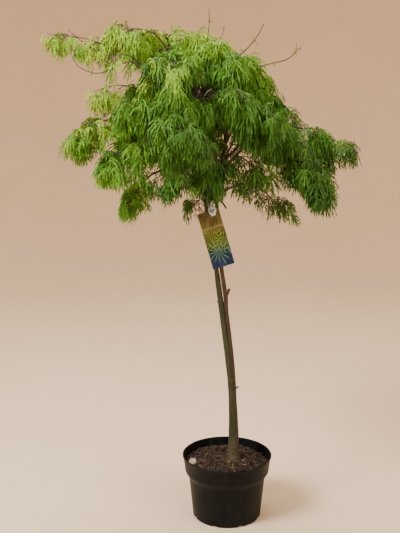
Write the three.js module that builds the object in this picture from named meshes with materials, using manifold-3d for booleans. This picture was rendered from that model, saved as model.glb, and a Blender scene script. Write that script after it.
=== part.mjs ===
// A weeping laceleaf maple grafted on a tall bare stem, growing in a black nursery pot.
// Millimetres, +Z up, the origin at the centre of the pot's flat underside, +Y towards the back.
// The crown is a set of foliage masses. Each mass is one stem that branches by a seeded rule inside
// its own space, and each is carried by a tapering bough that springs from one of two leaders.
import * as THREE from "three";
import { mergeVertices } from "three/addons/utils/BufferGeometryUtils.js";
import Module from "manifold-3d";

const wasm = await Module();
wasm.setup();

// ---------------------------------------------------------------- driving dimensions
const GAP = 0.3; // clearance between pieces that meet
const SLIVER = 0.01; // edges shorter than this are closed up

const POT = {
  height: 172,
  rimRadius: 120,
  bandFootRadius: 113, // the wide band under the rim tapers to this
  bandFoot: 126, // height where the band ends
  stepFoot: 113.5, // height where the step below the band ends
  stepRadius: 103,
  baseRadius: 92,
  wall: 2.4,
  floor: 3,
  segments: 32,
  drainNotches: 8,
  notchWidth: 15,
  notchHeight: 5,
};

const SOIL = {
  edge: 148, // height of the surface at the wall
  crown: 155, // height of the surface at the stem
  roughness: 3.2,
  padRadius: 24, // flat pad that the stem's foot stands on
};

const FOOT = { x: 17, y: 8, z: SOIL.crown + GAP };
const FORK_Z = 570; // the two stems part here

// Centre lines as [x, y, z, radius], from the foot upwards.
const MAIN_STEM = [
  [17, 8, FOOT.z, 19],
  [16.5, 8, 172, 14.6],
  [16, 7, 207, 12.2],
  [14.8, 6, 264, 10],
  [12.6, 4, 322, 9],
  [7.5, 3, 393, 8.8],
  [2, 2, 434, 8.2],
  [-5, 2, 489, 7.8],
  [-16, 2, FORK_Z, 7.6],
];
const SIDE_STEM = [
  [25, 6, FOOT.z, 11],
  [25, 6, 172, 8.4],
  [25, 5, 207, 7],
  [23.6, 4, 264, 5.8],
  [20.2, 2, 322, 5],
  [15.8, 1, 393, 5.4],
  [11.8, 0, 434, 5.5],
  [6.2, -1, 489, 5.3],
  [-4, -2, FORK_Z, 5.3],
];
const LEFT_LEADER = [
  [-16, 2, FORK_Z + GAP, 7.6],
  [-21.5, 2, 611, 7.4],
  [-31.2, 3, 681, 6.2],
  [-44, 4, 760, 6],
  [-56, 6, 839, 5.8],
  [-66, 8, 900, 6.2],
  [-74, 10, 985, 6],
  [-84, 14, 1105, 4.6],
];
const RIGHT_LEADER = [
  [-4, -2, FORK_Z + GAP, 5.3],
  [-6.5, -3, 611, 5.9],
  [-17.3, -4, 681, 5.3],
  [-25, -5, 760, 5.2],
  [-30, -6, 859, 5.2],
  [-24, -10, 920, 5.4],
  [-10, -14, 1000, 5],
  [-4, -18, 1105, 4],
];

const LEAF = {
  length: 130, // of the middle lobe, in a mass that has room for it
  perSpace: 1.8, // of the mass's radius, where that is less
  smallest: 0.5, // share of the length that a leaf may shrink to where space is short
  tries: 30, // turns tried for each leaf
  fewest: 4, // leaves on a mass, before its radius is counted
  perRadius: 0.1, // more leaves for each millimetre of radius
  stalk: 0.16, // of the length, from the twig to the palm
  notch: 0.46, // of the length, from the palm to the notch between two lobes
  thickness: 0.024, // of the length
  lobes: [-54, -27, 0, 27, 54], // degrees from the middle lobe
  reach: [0.68, 0.9, 1, 0.9, 0.68], // lobe lengths
  droop: 0.16, // of the lobe's length, how far its tip falls below the palm's plane
};
const TWIG = {
  stemRadius: 2.8,
  radius: 1.3,
  tipShare: 0.45, // of the radius, at the tip
  sides: 3,
  rings: 4, // stretches along a mass's stem
  fewest: 2, // side twigs on a mass, before its radius is counted
  perRadius: 0.035,
};
const SPACE_TALL = 1.4; // a mass's space is this much taller than it is wide
const STEM_ABOVE = 0.4; // of the radius, how far a mass's stem runs above its space's axis
const CLEAR = 1; // least distance between foliage and a limb

// Each mass: leader, height of its bough on the leader, the bough's control point, the two ends of
// the space's axis, the space's radius, and the seed of its growth.
const MASSES = {
  far_left: ["left", 1078, [-180, 4, 1160], [-270, -20, 1214], [-414, -58, 1244], 56, 27],
  loop_left: ["left", 1044, [-150, -60, 1120], [-216, -104, 1176], [-336, -124, 1178], 48, 21],
  top_left: ["left", 1098, [-118, -8, 1180], [-166, -30, 1222], [-262, -46, 1232], 62, 21],
  top_centre: ["left", 1062, [-70, 56, 1140], [-150, 40, 1224], [-50, 66, 1238], 72, 26],
  top_right: ["right", 1098, [-6, -26, 1150], [-40, -28, 1200], [44, -36, 1172], 66, 5],
  right_shoulder: ["right", 1070, [22, 10, 1120], [50, 26, 1140], [106, 24, 1076], 74, 4],
  front_upper: ["left", 1024, [-108, -80, 1130], [-128, -150, 1154], [-112, -206, 1092], 88, 9],
  upper_left: ["left", 1010, [-140, -60, 1110], [-186, -110, 1120], [-222, -160, 1070], 76, 14],
  front_right: ["right", 1036, [-8, -90, 1110], [-10, -150, 1096], [60, -196, 1062], 84, 5],
  left_mid: ["left", 998, [-150, -6, 1080], [-222, -20, 1104], [-326, -46, 1112], 58, 12],
  left_finger: ["left", 972, [-190, -34, 1080], [-282, -64, 1048], [-372, -84, 1010], 58, 2],
  left_lower: ["left", 940, [-130, -80, 1056], [-188, -132, 1018], [-270, -160, 950], 70, 7],
  left_tail: ["left", 902, [-146, -50, 968], [-200, -80, 914], [-240, -96, 862], 52, 2],
  front_centre: ["left", 958, [-112, -130, 1080], [-146, -220, 1034], [-88, -266, 980], 84, 13],
  centre_bottom: ["right", 934, [-40, -80, 1000], [-54, -124, 962], [-50, -132, 905], 64, 2],
  left_drop: ["left", 874, [-100, -80, 945], [-124, -140, 920], [-140, -156, 890], 38, 13],
  tag_clump: ["left", 862, null, [-78, -20, 848], [-104, -34, 832], 32, 9],
  right_low: ["right", 898, [2, -44, 975], [18, -66, 952], [86, -70, 904], 56, 6],
  bottom_right: ["right", 872, [44, -18, 925], [98, -30, 868], [152, -42, 816], 38, 8],
  right_fall: ["right", 952, [70, -60, 1060], [130, -100, 1000], [226, -130, 892], 68, 11],
  right_finger: ["right", 928, [90, 6, 1060], [150, 22, 1030], [294, 8, 958], 64, 2],
  back_left: ["left", 1022, [-140, 100, 1130], [-200, 170, 1086], [-250, 210, 986], 84, 7],
  back_top: ["left", 1040, [-60, 90, 1140], [-50, 134, 1150], [36, 150, 1132], 80, 21],
  back_centre: ["left", 992, [-76, 150, 1110], [-74, 236, 1060], [-74, 276, 980], 88, 4],
  back_right: ["right", 1002, [44, 100, 1100], [96, 170, 1060], [150, 206, 980], 82, 6],
  back_left_low: ["left", 926, [-116, 100, 1000], [-160, 160, 930], [-184, 190, 872], 62, 10],
  back_right_low: ["right", 914, [0, 90, 990], [32, 160, 936], [56, 190, 874], 62, 18],
};

// Bare young shoots that stand out of a mass: the mass, the share along its stem, a point on the
// way and the tip.
const BARE_SHOOTS = [
  ["top_right", 0.3, [44, -34, 1226], [80, -32, 1287]],
  ["top_right", 0.96, [104, -36, 1196], [171, -32, 1234]],
  ["top_centre", 0.62, [-54, 62, 1290], [-50, 62, 1334]],
  ["top_centre", 0.86, [-24, 64, 1262], [-12, 62, 1290]],
  ["far_left", 0.3, [-344, -52, 1250], [-387, -56, 1272]],
];

const LABEL = {
  width: 60,
  height: 146,
  thickness: 0.9,
  loopZ: 846, // height of its loop on the left leader
  loopBand: 5,
  across: [0.9, -0.3, 0.34], // direction of its top edge
  down: [0.27, -0.22, -0.93],
  corner: [-80, -17, 824], // its upper left corner
};
const PRICE_TAG = { width: 25, height: 27, thickness: 0.8, loopZ: 866, strip: 3.2 };

// ---------------------------------------------------------------- helpers
const v3 = (a) => new THREE.Vector3(a[0], a[1], a[2]);
const UP = new THREE.Vector3(0, 0, 1);

// The same numbers for the same seed, from 0 to 1.
function seeded(seed) {
  let state = seed >>> 0;
  return () => {
    state = (state + 0x6d2b79f5) >>> 0;
    let t = state;
    t = Math.imul(t ^ (t >>> 15), t | 1);
    t ^= t + Math.imul(t ^ (t >>> 7), t | 61);
    return ((t ^ (t >>> 14)) >>> 0) / 4294967296;
  };
}

function toSolid(geometry) {
  const bare = geometry.clone();
  for (const name of Object.keys(bare.attributes)) {
    if (name !== "position") bare.deleteAttribute(name);
  }
  const merged = mergeVertices(bare, 1e-4);
  return new wasm.Manifold(
    new wasm.Mesh({
      numProp: 3,
      vertProperties: merged.attributes.position.array,
      triVerts: new Uint32Array(merged.index.array),
    }),
  );
}

function toGeometry(solid) {
  const mesh = solid.getMesh();
  const geometry = new THREE.BufferGeometry();
  geometry.setAttribute("position", new THREE.BufferAttribute(mesh.vertProperties, 3));
  geometry.setIndex(new THREE.BufferAttribute(mesh.triVerts, 1));
  geometry.computeVertexNormals();
  return geometry;
}

// A round limb along a curve: a cylinder whose rings are carried to the curve. A sharp limb ends in a point.
function limb(curve, radiusAt, sides, rings, sharp = false) {
  const cylinder = new THREE.CylinderGeometry(sharp ? 0 : 1, 1, 1, sides, rings);
  const frames = curve.computeFrenetFrames(rings);
  const position = cylinder.attributes.position;
  const p = new THREE.Vector3();
  for (let i = 0; i < position.count; i++) {
    p.fromBufferAttribute(position, i);
    const t = p.y + 0.5;
    const ring = Math.round(t * rings);
    const flat = Math.hypot(p.x, p.z);
    const r = flat > 1e-6 ? radiusAt(t) / flat : 0;
    const at = curve.getPointAt(t);
    at.addScaledVector(frames.binormals[ring], p.x * r);
    at.addScaledVector(frames.normals[ring], p.z * r);
    position.setXYZ(i, at.x, at.y, at.z);
  }
  return cylinder;
}

// The point at a share of the way along a limb made of a few straight stretches.
function onAxis(curve, stretches, share) {
  const i = Math.min(Math.floor(share * stretches), stretches - 1);
  const next = curve.getPointAt((i + 1) / stretches);
  return curve.getPointAt(i / stretches).lerp(next, share * stretches - i);
}

// A curve through [x, y, z, radius] rows, with the radius as a function of the share along it.
function limbPath(rows) {
  const curve = new THREE.CatmullRomCurve3(rows.map(v3), false, "catmullrom", 0.5);
  const spans = rows.length - 1;
  const shares = rows.map((row, i) => {
    const part = curve.getLengths(spans * 20);
    return part[i * 20] / part[spans * 20];
  });
  const radiusAt = (t) => {
    let i = 0;
    while (i < spans - 1 && t > shares[i + 1]) i++;
    const f = THREE.MathUtils.clamp((t - shares[i]) / (shares[i + 1] - shares[i]), 0, 1);
    return THREE.MathUtils.lerp(rows[i][3], rows[i + 1][3], f);
  };
  return { curve, radiusAt };
}

// Share along a rising curve at which it reaches a height.
function shareAtHeight(curve, z) {
  let low = 0;
  let high = 1;
  for (let i = 0; i < 30; i++) {
    const middle = (low + high) / 2;
    if (curve.getPointAt(middle).z < z) low = middle;
    else high = middle;
  }
  return (low + high) / 2;
}

// Nearest points of two segments, as [point on the first, point on the second].
function nearest(a0, a1, b0, b1) {
  const u = a1.clone().sub(a0);
  const v = b1.clone().sub(b0);
  const w = a0.clone().sub(b0);
  const a = u.dot(u);
  const b = u.dot(v);
  const c = v.dot(v);
  const d = u.dot(w);
  const e = v.dot(w);
  const det = a * c - b * b;
  const clamp = (x) => THREE.MathUtils.clamp(x, 0, 1);
  let s = det > 1e-9 ? clamp((b * e - c * d) / det) : 0;
  const t = c > 1e-9 ? clamp((b * s + e) / c) : 0;
  s = a > 1e-9 ? clamp((b * t - d) / a) : 0;
  return [a0.clone().addScaledVector(u, s), b0.clone().addScaledVector(v, t)];
}

function mesh(name, geometry, material) {
  const made = new THREE.Mesh(geometry, material);
  made.name = name;
  return made;
}

// ---------------------------------------------------------------- materials
const finish = (color, roughness, metalness = 0) =>
  new THREE.MeshStandardMaterial({ color, roughness, metalness });
const MATERIALS = {
  pot: finish(0x1c1c1e, 0.55),
  soil: finish(0x3a2a1e, 0.95),
  bark: finish(0x4a4c34, 0.8),
  youngBark: finish(0x6a4028, 0.75),
  limeLeaf: finish(0x86b324, 0.6),
  greenLeaf: finish(0x3f8a26, 0.6),
  deepLeaf: finish(0x24601f, 0.65),
  label: finish(0x3c4a3a, 0.35),
  tag: finish(0xe8e8e4, 0.5),
};

// ---------------------------------------------------------------- pot and soil
function potOuter() {
  return [
    [POT.baseRadius - 2, 0],
    [POT.baseRadius, 2],
    [POT.stepRadius, POT.stepFoot],
    [POT.bandFootRadius, POT.bandFoot],
    [POT.rimRadius, POT.height - 2],
    [POT.rimRadius - 1, POT.height],
  ];
}

function potInner() {
  return [
    [POT.rimRadius - POT.wall - 1.4, POT.height],
    [POT.bandFootRadius - POT.wall, POT.bandFoot + 0.8],
    [POT.stepRadius - POT.wall, POT.stepFoot + 0.8],
    [POT.baseRadius - POT.wall, POT.floor],
  ];
}

function lathe(profile, segments) {
  const points = profile.map(([r, z]) => new THREE.Vector2(r, z));
  return new THREE.LatheGeometry(points, segments).rotateX(Math.PI / 2);
}

function makePot() {
  const profile = [[0, 0], ...potOuter(), ...potInner(), [0, POT.floor]];
  let pot = toSolid(lathe(profile, POT.segments));
  const notch = new THREE.BoxGeometry(16, POT.notchWidth, POT.notchHeight * 2);
  for (let i = 0; i < POT.drainNotches; i++) {
    const angle = ((i + 0.5) / POT.drainNotches) * Math.PI * 2;
    const cut = notch.clone().translate(POT.baseRadius, 0, 0).rotateZ(angle);
    pot = pot.subtract(toSolid(cut));
  }
  return mesh("pot", toGeometry(pot), MATERIALS.pot);
}

// The inner radius of the pot at a height, less the clearance.
function soilRadius(z) {
  const inner = potInner().slice().reverse();
  let i = 0;
  while (i < inner.length - 2 && z > inner[i + 1][1]) i++;
  const [[r0, z0], [r1, z1]] = [inner[i], inner[i + 1]];
  return r0 + ((r1 - r0) * (z - z0)) / (z1 - z0) - GAP - 0.1;
}

function makeSoil() {
  const random = seeded(11);
  const wall = [POT.floor + GAP, POT.stepFoot + 0.8, POT.bandFoot + 0.8, SOIL.edge - 4];
  const profile = [[0, wall[0]], ...wall.map((z) => [soilRadius(z), z])];
  const rings = [0.97, 0.78, 0.56, 0.34];
  const top = soilRadius(SOIL.edge - 4);
  for (const share of rings) {
    profile.push([top * share, THREE.MathUtils.lerp(SOIL.crown + 1, SOIL.edge, share)]);
  }
  profile.push([0, SOIL.crown + 1]);
  const geometry = mergeVertices(lathe(profile, POT.segments / 2).deleteAttribute("normal").deleteAttribute("uv"), 1e-3);
  const position = geometry.attributes.position;
  for (let i = 0; i < position.count; i++) {
    const z = position.getZ(i);
    if (z > SOIL.edge - 3) position.setZ(i, z + (random() - 0.5) * 2 * SOIL.roughness);
  }
  const pad = new THREE.CylinderGeometry(SOIL.padRadius, SOIL.padRadius, 40, 16)
    .rotateX(Math.PI / 2)
    .translate(FOOT.x + 3, FOOT.y, SOIL.crown + 20);
  const soil = toSolid(geometry).subtract(toSolid(pad));
  return mesh("soil", toGeometry(soil), MATERIALS.soil);
}

// ---------------------------------------------------------------- trunk and leaders
const PATHS = {
  main: limbPath(MAIN_STEM),
  side: limbPath(SIDE_STEM),
  left: limbPath(LEFT_LEADER),
  right: limbPath(RIGHT_LEADER),
};

// A solid limb of one path, thicker by extra all round, cut flat at its two ends' heights.
function pathSolid(path, sides, rings, extra = 0) {
  return toSolid(limb(path.curve, (t) => path.radiusAt(t) + extra, sides, rings));
}

function levelCut(solid, low, high) {
  const box = new THREE.BoxGeometry(400, 400, high - low).translate(0, 0, (high + low) / 2);
  return solid.intersect(toSolid(box));
}

// A short broken or pruned side shoot.
function spur(from, to, radius) {
  const line = new THREE.LineCurve3(v3(from), v3(to));
  return toSolid(limb(line, (t) => radius * (1 - 0.35 * t), 5, 1));
}

function makeTrunk() {
  const low = FOOT.z;
  const lengthen = (rows) => [[rows[0][0], rows[0][1], low - 6, rows[0][3] * 1.1], ...rows];
  const raise = (rows) => {
    const last = rows[rows.length - 1];
    const before = rows[rows.length - 2];
    const next = last.map((value, i) => value + (value - before[i]) * 0.1);
    return [...rows, next];
  };
  const main = pathSolid(limbPath(raise(lengthen(MAIN_STEM))), 10, 11);
  const side = pathSolid(limbPath(raise(lengthen(SIDE_STEM))), 8, 11);
  const lowSpur = spur([18, 1, 352], [31, 0, 361], 1.6);
  const trunk = levelCut(main.add(side).add(lowSpur), low, FORK_Z);
  return mesh("trunk", toGeometry(trunk), MATERIALS.bark);
}

function makeLeader(name, path, spurs, material) {
  let leader = pathSolid(path, 8, 10);
  for (const [from, to, radius] of spurs) leader = leader.add(spur(from, to, radius));
  return mesh(name, toGeometry(levelCut(leader, FORK_Z + GAP, 2000)), material);
}

const RIGHT_SPURS = [
  [[-4, -3, 612], [3, -4, 626], 3],
  [[-28, -7, 874], [-7, -16, 841], 1.8],
];

// ---------------------------------------------------------------- masses: stems and spaces
function massOf([name, [leader, z, control, start, end, radius, seed]]) {
  const lift = UP.clone().multiplyScalar(STEM_ABOVE * radius);
  const tip = v3(start).add(lift);
  const path = PATHS[leader];
  const share = shareAtHeight(path.curve, z);
  const root = path.curve.getPointAt(share);
  const mass = { name, leader, radius, root, tip, seed };
  mass.twigs = Math.round(TWIG.fewest + radius * TWIG.perRadius);
  mass.axis = [v3(start), v3(end)];
  if (control) {
    mass.bough = new THREE.QuadraticBezierCurve3(root, v3(control), tip);
    const heading = mass.bough.getTangentAt(1);
    const from = tip.clone().addScaledVector(heading, GAP);
    mass.stem = stemCurve(from, heading, mass);
  } else {
    const heading = tip.clone().sub(root).normalize();
    mass.stem = stemCurve(root, heading, mass);
  }
  mass.boughRadius = [2.4 + radius * 0.035, TWIG.stemRadius + 0.3];
  return mass;
}

// A mass's stem leaves its bough along the bough's own line and bends over towards the far end.
function stemCurve(from, heading, { axis, radius }) {
  const to = axis[1].clone().addScaledVector(UP, STEM_ABOVE * radius * 0.6);
  const control = from.clone().addScaledVector(heading, from.distanceTo(to) * 0.45);
  return new THREE.QuadraticBezierCurve3(from, control, to);
}

const masses = Object.entries(MASSES).map(massOf);

// The planes that keep one mass's space apart from its neighbours'.
function wallsOf(mass) {
  const walls = [];
  for (const other of masses) {
    if (other === mass) continue;
    const [p, q] = nearest(...mass.axis, ...other.axis);
    const distance = p.distanceTo(q);
    if (distance > (mass.radius + other.radius) * SPACE_TALL) continue;
    const square = distance * distance + mass.radius ** 2 - other.radius ** 2;
    const reach = THREE.MathUtils.clamp(square / (2 * distance), 0.2 * distance, 0.8 * distance);
    const normal = q.clone().sub(p).divideScalar(distance);
    walls.push({ normal, limit: normal.dot(p) + reach - GAP });
  }
  return walls;
}

function insideSpace(mass, p) {
  for (const { normal, limit } of mass.walls) {
    if (normal.dot(p) > limit) return false;
  }
  const squash = ({ x, y, z }) => new THREE.Vector3(x, y, z / SPACE_TALL);
  const [a, b] = mass.axis.map(squash);
  const q = squash(p);
  const along = b.clone().sub(a);
  const t = THREE.MathUtils.clamp(q.clone().sub(a).dot(along) / along.lengthSq(), 0, 1);
  return q.distanceTo(a.addScaledVector(along, t)) < mass.radius;
}

for (const mass of masses) mass.walls = wallsOf(mass);

const boughRadiusAt = (mass) => (t) => THREE.MathUtils.lerp(...mass.boughRadius, Math.sqrt(t));

// A bough's round limb, thicker by extra all round.
function boughSolid(mass, extra = 0) {
  return toSolid(limb(mass.bough, (t) => boughRadiusAt(mass)(t) + extra, 5, 4));
}

function meets(a, b) {
  const [p, q] = [a.boundingBox(), b.boundingBox()];
  const apart = [0, 1, 2].some((k) => p.min[k] > q.max[k] || q.min[k] > p.max[k]);
  return !apart && !a.intersect(b).isEmpty();
}

// Every limb with its clearance, which no twig or leaf may touch.
const keptClear = [PATHS.left, PATHS.right].map((path) => pathSolid(path, 8, 10, CLEAR));
for (const mass of masses) {
  if (mass.bough) keptClear.push(boughSolid(mass, CLEAR));
}

// ---------------------------------------------------------------- leaves and twigs
// A hanging leaf of narrow lobes: the equator of a two-ring sphere is carried to the leaf's outline.
function makeLeaf(root, heading, blade, length) {
  const across = new THREE.Vector3().crossVectors(blade, heading);
  if (across.lengthSq() < 1e-3) across.crossVectors(blade, UP);
  across.normalize();
  const normal = new THREE.Vector3().crossVectors(across, blade).normalize();
  const palm = root.clone().addScaledVector(heading, LEAF.stalk * length);
  const ray = (degrees, distance) => {
    const angle = THREE.MathUtils.degToRad(degrees);
    const fall = (LEAF.droop * distance * distance) / length;
    return palm
      .clone()
      .addScaledVector(blade, Math.cos(angle) * distance)
      .addScaledVector(across, Math.sin(angle) * distance)
      .addScaledVector(UP, -fall);
  };
  const outline = [root.clone()];
  LEAF.lobes.forEach((degrees, i) => {
    outline.push(ray(degrees, LEAF.reach[i] * length));
    const next = LEAF.lobes[i + 1];
    if (next !== undefined) outline.push(ray((degrees + next) / 2, LEAF.notch * length));
  });
  const geometry = new THREE.SphereGeometry(1, outline.length, 2);
  const position = geometry.attributes.position;
  const half = (LEAF.thickness * length) / 2;
  for (let i = 0; i < position.count; i++) {
    const y = position.getY(i);
    const turn = Math.atan2(position.getZ(i), -position.getX(i)) / (2 * Math.PI);
    const index = Math.round((turn + 1) * outline.length) % outline.length;
    const pole = palm.clone().addScaledVector(normal, -half * Math.sign(y));
    const p = Math.abs(y) > 0.5 ? pole : outline[index];
    position.setXYZ(i, p.x, p.y, p.z);
  }
  return { outline, solid: toSolid(geometry) };
}

function leafFits(mass, { outline, solid }) {
  const inside = outline.slice(1).every((p) => insideSpace(mass, p));
  return inside && !keptClear.some((limbSolid) => meets(solid, limbSolid));
}

function shootFits(mass, { curve, solid }) {
  const inside = [0.35, 0.6, 0.8, 1].every((s) => insideSpace(mass, curve.getPointAt(s)));
  return inside && !keptClear.some((limbSolid) => meets(solid, limbSolid));
}

// The largest piece of a cut or joined solid, with its slivers cleaned away.
function largestPiece(solid) {
  const pieces = solid.simplify(SLIVER).decompose();
  return pieces.sort((a, b) => b.volume() - a.volume())[0];
}

// A twig's radius along it, in step with its length.
function thinning(radius) {
  return (t) => radius * (1 - (1 - TWIG.tipShare) * t);
}

// The two directions square to a heading, the first one level.
function sidesOf(heading) {
  const level = new THREE.Vector3().crossVectors(heading, UP);
  if (level.lengthSq() < 1e-4) level.set(1, 0, 0);
  level.normalize();
  return [level, new THREE.Vector3().crossVectors(level, heading).normalize()];
}

function shootLine(from, heading, side, length, random) {
  const out = heading
    .clone()
    .multiplyScalar(0.5 + 0.2 * random())
    .addScaledVector(side, 0.85)
    .addScaledVector(UP, -0.15)
    .normalize();
  return new THREE.LineCurve3(from, from.clone().addScaledVector(out, length));
}

// Side twigs in pairs, each pair a quarter turn round the stem from the last, as maple buds stand.
function twigsOf(mass, random) {
  const shoots = [];
  for (let i = 0; i < mass.twigs; i++) {
    const share = 0.12 + (0.8 * (i + 0.3 * random())) / mass.twigs;
    const from = onAxis(mass.stem, TWIG.rings, share);
    const heading = mass.stem.getTangentAt(share);
    const [level, steep] = sidesOf(heading);
    const turn = (Math.floor(i / 2) % 2) * 0.9 + (i % 2) * Math.PI + (random() - 0.5) * 0.5;
    const side = level.clone().multiplyScalar(Math.cos(turn)).addScaledVector(steep, Math.sin(turn));
    for (const shrink of [1, 0.75, 0.5]) {
      const length = mass.radius * (1.05 - 0.3 * share) * shrink;
      const curve = shootLine(from, heading, side, length, random);
      const solid = toSolid(limb(curve, thinning(TWIG.radius), TWIG.sides, 1, true));
      if (!shootFits(mass, { curve, solid })) continue;
      shoots.push({ curve, solid });
      break;
    }
  }
  return shoots;
}

// Where leaves stand: a pair part way along each shoot, and one or two at its tip.
function leafPlaces(mass, shoots, random) {
  const places = [];
  const add = (curve, share, turn) => {
    const rings = curve === mass.stem ? TWIG.rings : 1;
    const heading = curve.getTangentAt(share);
    const [level, steep] = sidesOf(heading);
    const side = level.clone().multiplyScalar(Math.cos(turn)).addScaledVector(steep, Math.sin(turn));
    places.push({ from: onAxis(curve, rings, share), heading, side });
  };
  add(mass.stem, 0.985, random() * 6.28);
  for (const { curve } of shoots) add(curve, 0.96, random() * 6.28);
  for (const share of [0.82, 0.6, 0.4, 0.2]) add(mass.stem, share, random() * 6.28);
  for (const { curve } of shoots) add(curve, 0.55, random() * 6.28);
  for (const share of [0.7, 0.5, 0.3, 0.9, 0.1]) add(mass.stem, share, random() * 6.28);
  return places;
}

function leafTries({ from, heading, side }, size, random) {
  return Array.from({ length: LEAF.tries }, (_, i) => {
    const shrink = 1 - ((1 - LEAF.smallest) * i) / LEAF.tries;
    const out = heading.clone().multiplyScalar(0.7).addScaledVector(side, 0.7);
    out.addScaledVector(UP, 0.1).normalize();
    const sway = new THREE.Vector3(random() - 0.5, random() - 0.5, 0).multiplyScalar(1.4);
    const blade = out.clone().multiplyScalar(0.4).add(sway);
    blade.addScaledVector(UP, -(0.55 + 0.5 * random())).normalize();
    return makeLeaf(from, out, blade, size * shrink);
  });
}

function growMass(mass) {
  const random = seeded(mass.seed);
  const shoots = twigsOf(mass, random);
  const stem = toSolid(limb(mass.stem, thinning(TWIG.stemRadius), TWIG.sides, TWIG.rings, true));
  const size = Math.min(LEAF.length, mass.radius * LEAF.perSpace);
  const most = Math.round(LEAF.fewest + mass.radius * LEAF.perRadius);
  const leaves = [];
  for (const place of leafPlaces(mass, shoots, random)) {
    if (leaves.length === most) break;
    for (const leaf of leafTries(place, size, random)) {
      if (!leafFits(mass, leaf)) continue;
      if (leaves.some((other) => meets(leaf.solid, other))) continue;
      leaves.push(leaf.solid);
      break;
    }
  }
  const wood = [stem, ...shoots.map(({ solid }) => solid), ...bareShoots(mass)];
  let all = wasm.Manifold.union([...wood, ...leaves]);
  if (!mass.bough) all = all.subtract(pathSolid(PATHS[mass.leader], 8, 10, GAP));
  return largestPiece(all);
}

function makeBough(mass) {
  const clearance = pathSolid(PATHS[mass.leader], 8, 10, GAP);
  const bough = largestPiece(boughSolid(mass).subtract(clearance));
  return mesh("bough_" + mass.name, toGeometry(bough), MATERIALS.bark);
}

function bareShoots(mass) {
  return BARE_SHOOTS.filter(([name]) => name === mass.name).map(([, share, by, tip]) => {
    const root = onAxis(mass.stem, TWIG.rings, share);
    const curve = new THREE.QuadraticBezierCurve3(root, v3(by), v3(tip));
    return toSolid(limb(curve, thinning(TWIG.radius), TWIG.sides, 2, true));
  });
}

function leafMaterial(mass) {
  const height = (mass.axis[0].z + mass.axis[1].z) / 2;
  if (height > 1120) return MATERIALS.limeLeaf;
  return height > 940 ? MATERIALS.greenLeaf : MATERIALS.deepLeaf;
}

// ---------------------------------------------------------------- label and price tag
// A closed band round a leader, square to it at a height.
function loopBand(path, z, band, thickness) {
  const share = shareAtHeight(path.curve, z);
  const inner = path.radiusAt(share) + GAP + 0.5;
  const ring = new THREE.Shape().absarc(0, 0, inner + thickness, 0, Math.PI * 2);
  ring.holes.push(new THREE.Path().absarc(0, 0, inner, 0, Math.PI * 2, true));
  const geometry = new THREE.ExtrudeGeometry(ring, {
    depth: band,
    bevelEnabled: false,
    curveSegments: 5,
  });
  const turn = new THREE.Quaternion().setFromUnitVectors(UP, path.curve.getTangentAt(share));
  const centre = path.curve.getPointAt(share);
  geometry.translate(0, 0, -band / 2).applyQuaternion(turn).translate(...centre);
  return { solid: toSolid(geometry), centre, reach: inner + thickness * 0.9 };
}

// A flat plate: a shape drawn in its own plane, from its upper left corner.
function plate(shape, thickness, corner, across, down) {
  const face = new THREE.Vector3().crossVectors(across, down).normalize();
  const basis = new THREE.Matrix4().makeBasis(across, down, face).setPosition(corner);
  const settings = { depth: thickness, bevelEnabled: false, curveSegments: 2 };
  return toSolid(new THREE.ExtrudeGeometry(shape, settings).applyMatrix4(basis));
}

function strip(from, to, width, thickness) {
  const length = from.distanceTo(to);
  const turn = new THREE.Quaternion().setFromUnitVectors(UP, to.clone().sub(from).normalize());
  const box = new THREE.BoxGeometry(width, thickness, length + thickness);
  return toSolid(box.applyQuaternion(turn).translate(...from.clone().lerp(to, 0.5)));
}

function roundedRectangle(width, height, corner) {
  const shape = new THREE.Shape();
  shape.moveTo(corner, 0).lineTo(width - corner, 0);
  shape.absarc(width - corner, corner, corner, -Math.PI / 2, 0);
  shape.absarc(width - corner, height - corner, corner, 0, Math.PI / 2);
  shape.absarc(corner, height - corner, corner, Math.PI / 2, Math.PI);
  shape.absarc(corner, corner, corner, Math.PI, Math.PI * 1.5);
  return shape;
}

function labelAxes() {
  const across = v3(LABEL.across).normalize();
  const down = v3(LABEL.down);
  down.addScaledVector(across, -down.dot(across)).normalize();
  return { across, down };
}

function makeLabel() {
  const { across, down } = labelAxes();
  const corner = v3(LABEL.corner);
  const face = roundedRectangle(LABEL.width, LABEL.height, 3);
  const card = plate(face, LABEL.thickness, corner, across, down);
  const loop = loopBand(PATHS.left, LABEL.loopZ, LABEL.loopBand, LABEL.thickness);
  const front = loop.centre.clone().add(new THREE.Vector3(0, -loop.reach, 0));
  const share = front.clone().sub(corner).dot(across);
  const onEdge = corner.clone().addScaledVector(across, share).addScaledVector(down, 3);
  const neck = strip(front, onEdge, 7, LABEL.thickness);
  const label = card.add(loop.solid).add(neck);
  return mesh("plant_label", toGeometry(label), MATERIALS.label);
}

function makePriceTag() {
  const { across, down } = labelAxes();
  const loop = loopBand(PATHS.left, PRICE_TAG.loopZ, PRICE_TAG.strip, PRICE_TAG.thickness);
  const front = loop.centre.clone().add(new THREE.Vector3(0, -loop.reach, 0));
  const face = new THREE.Vector3().crossVectors(across, down).normalize();
  if (face.y > 0) face.negate();
  const corner = v3(LABEL.corner).addScaledVector(across, 31).addScaledVector(down, -5);
  corner.addScaledVector(face, 4);
  const { width: w, height: h } = PRICE_TAG;
  const outline = new THREE.Shape();
  outline.moveTo(w * 0.2, 0).lineTo(w * 0.8, 0).lineTo(w, h * 0.45).lineTo(w * 0.72, h);
  outline.lineTo(w * 0.28, h).lineTo(0, h * 0.45).closePath();
  const card = plate(outline, PRICE_TAG.thickness, corner, across, down);
  const top = corner.clone().addScaledVector(across, w * 0.4).addScaledVector(down, 2);
  const neck = strip(front, top, PRICE_TAG.strip, PRICE_TAG.thickness);
  return mesh("price_tag", toGeometry(card.add(loop.solid).add(neck)), MATERIALS.tag);
}

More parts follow.
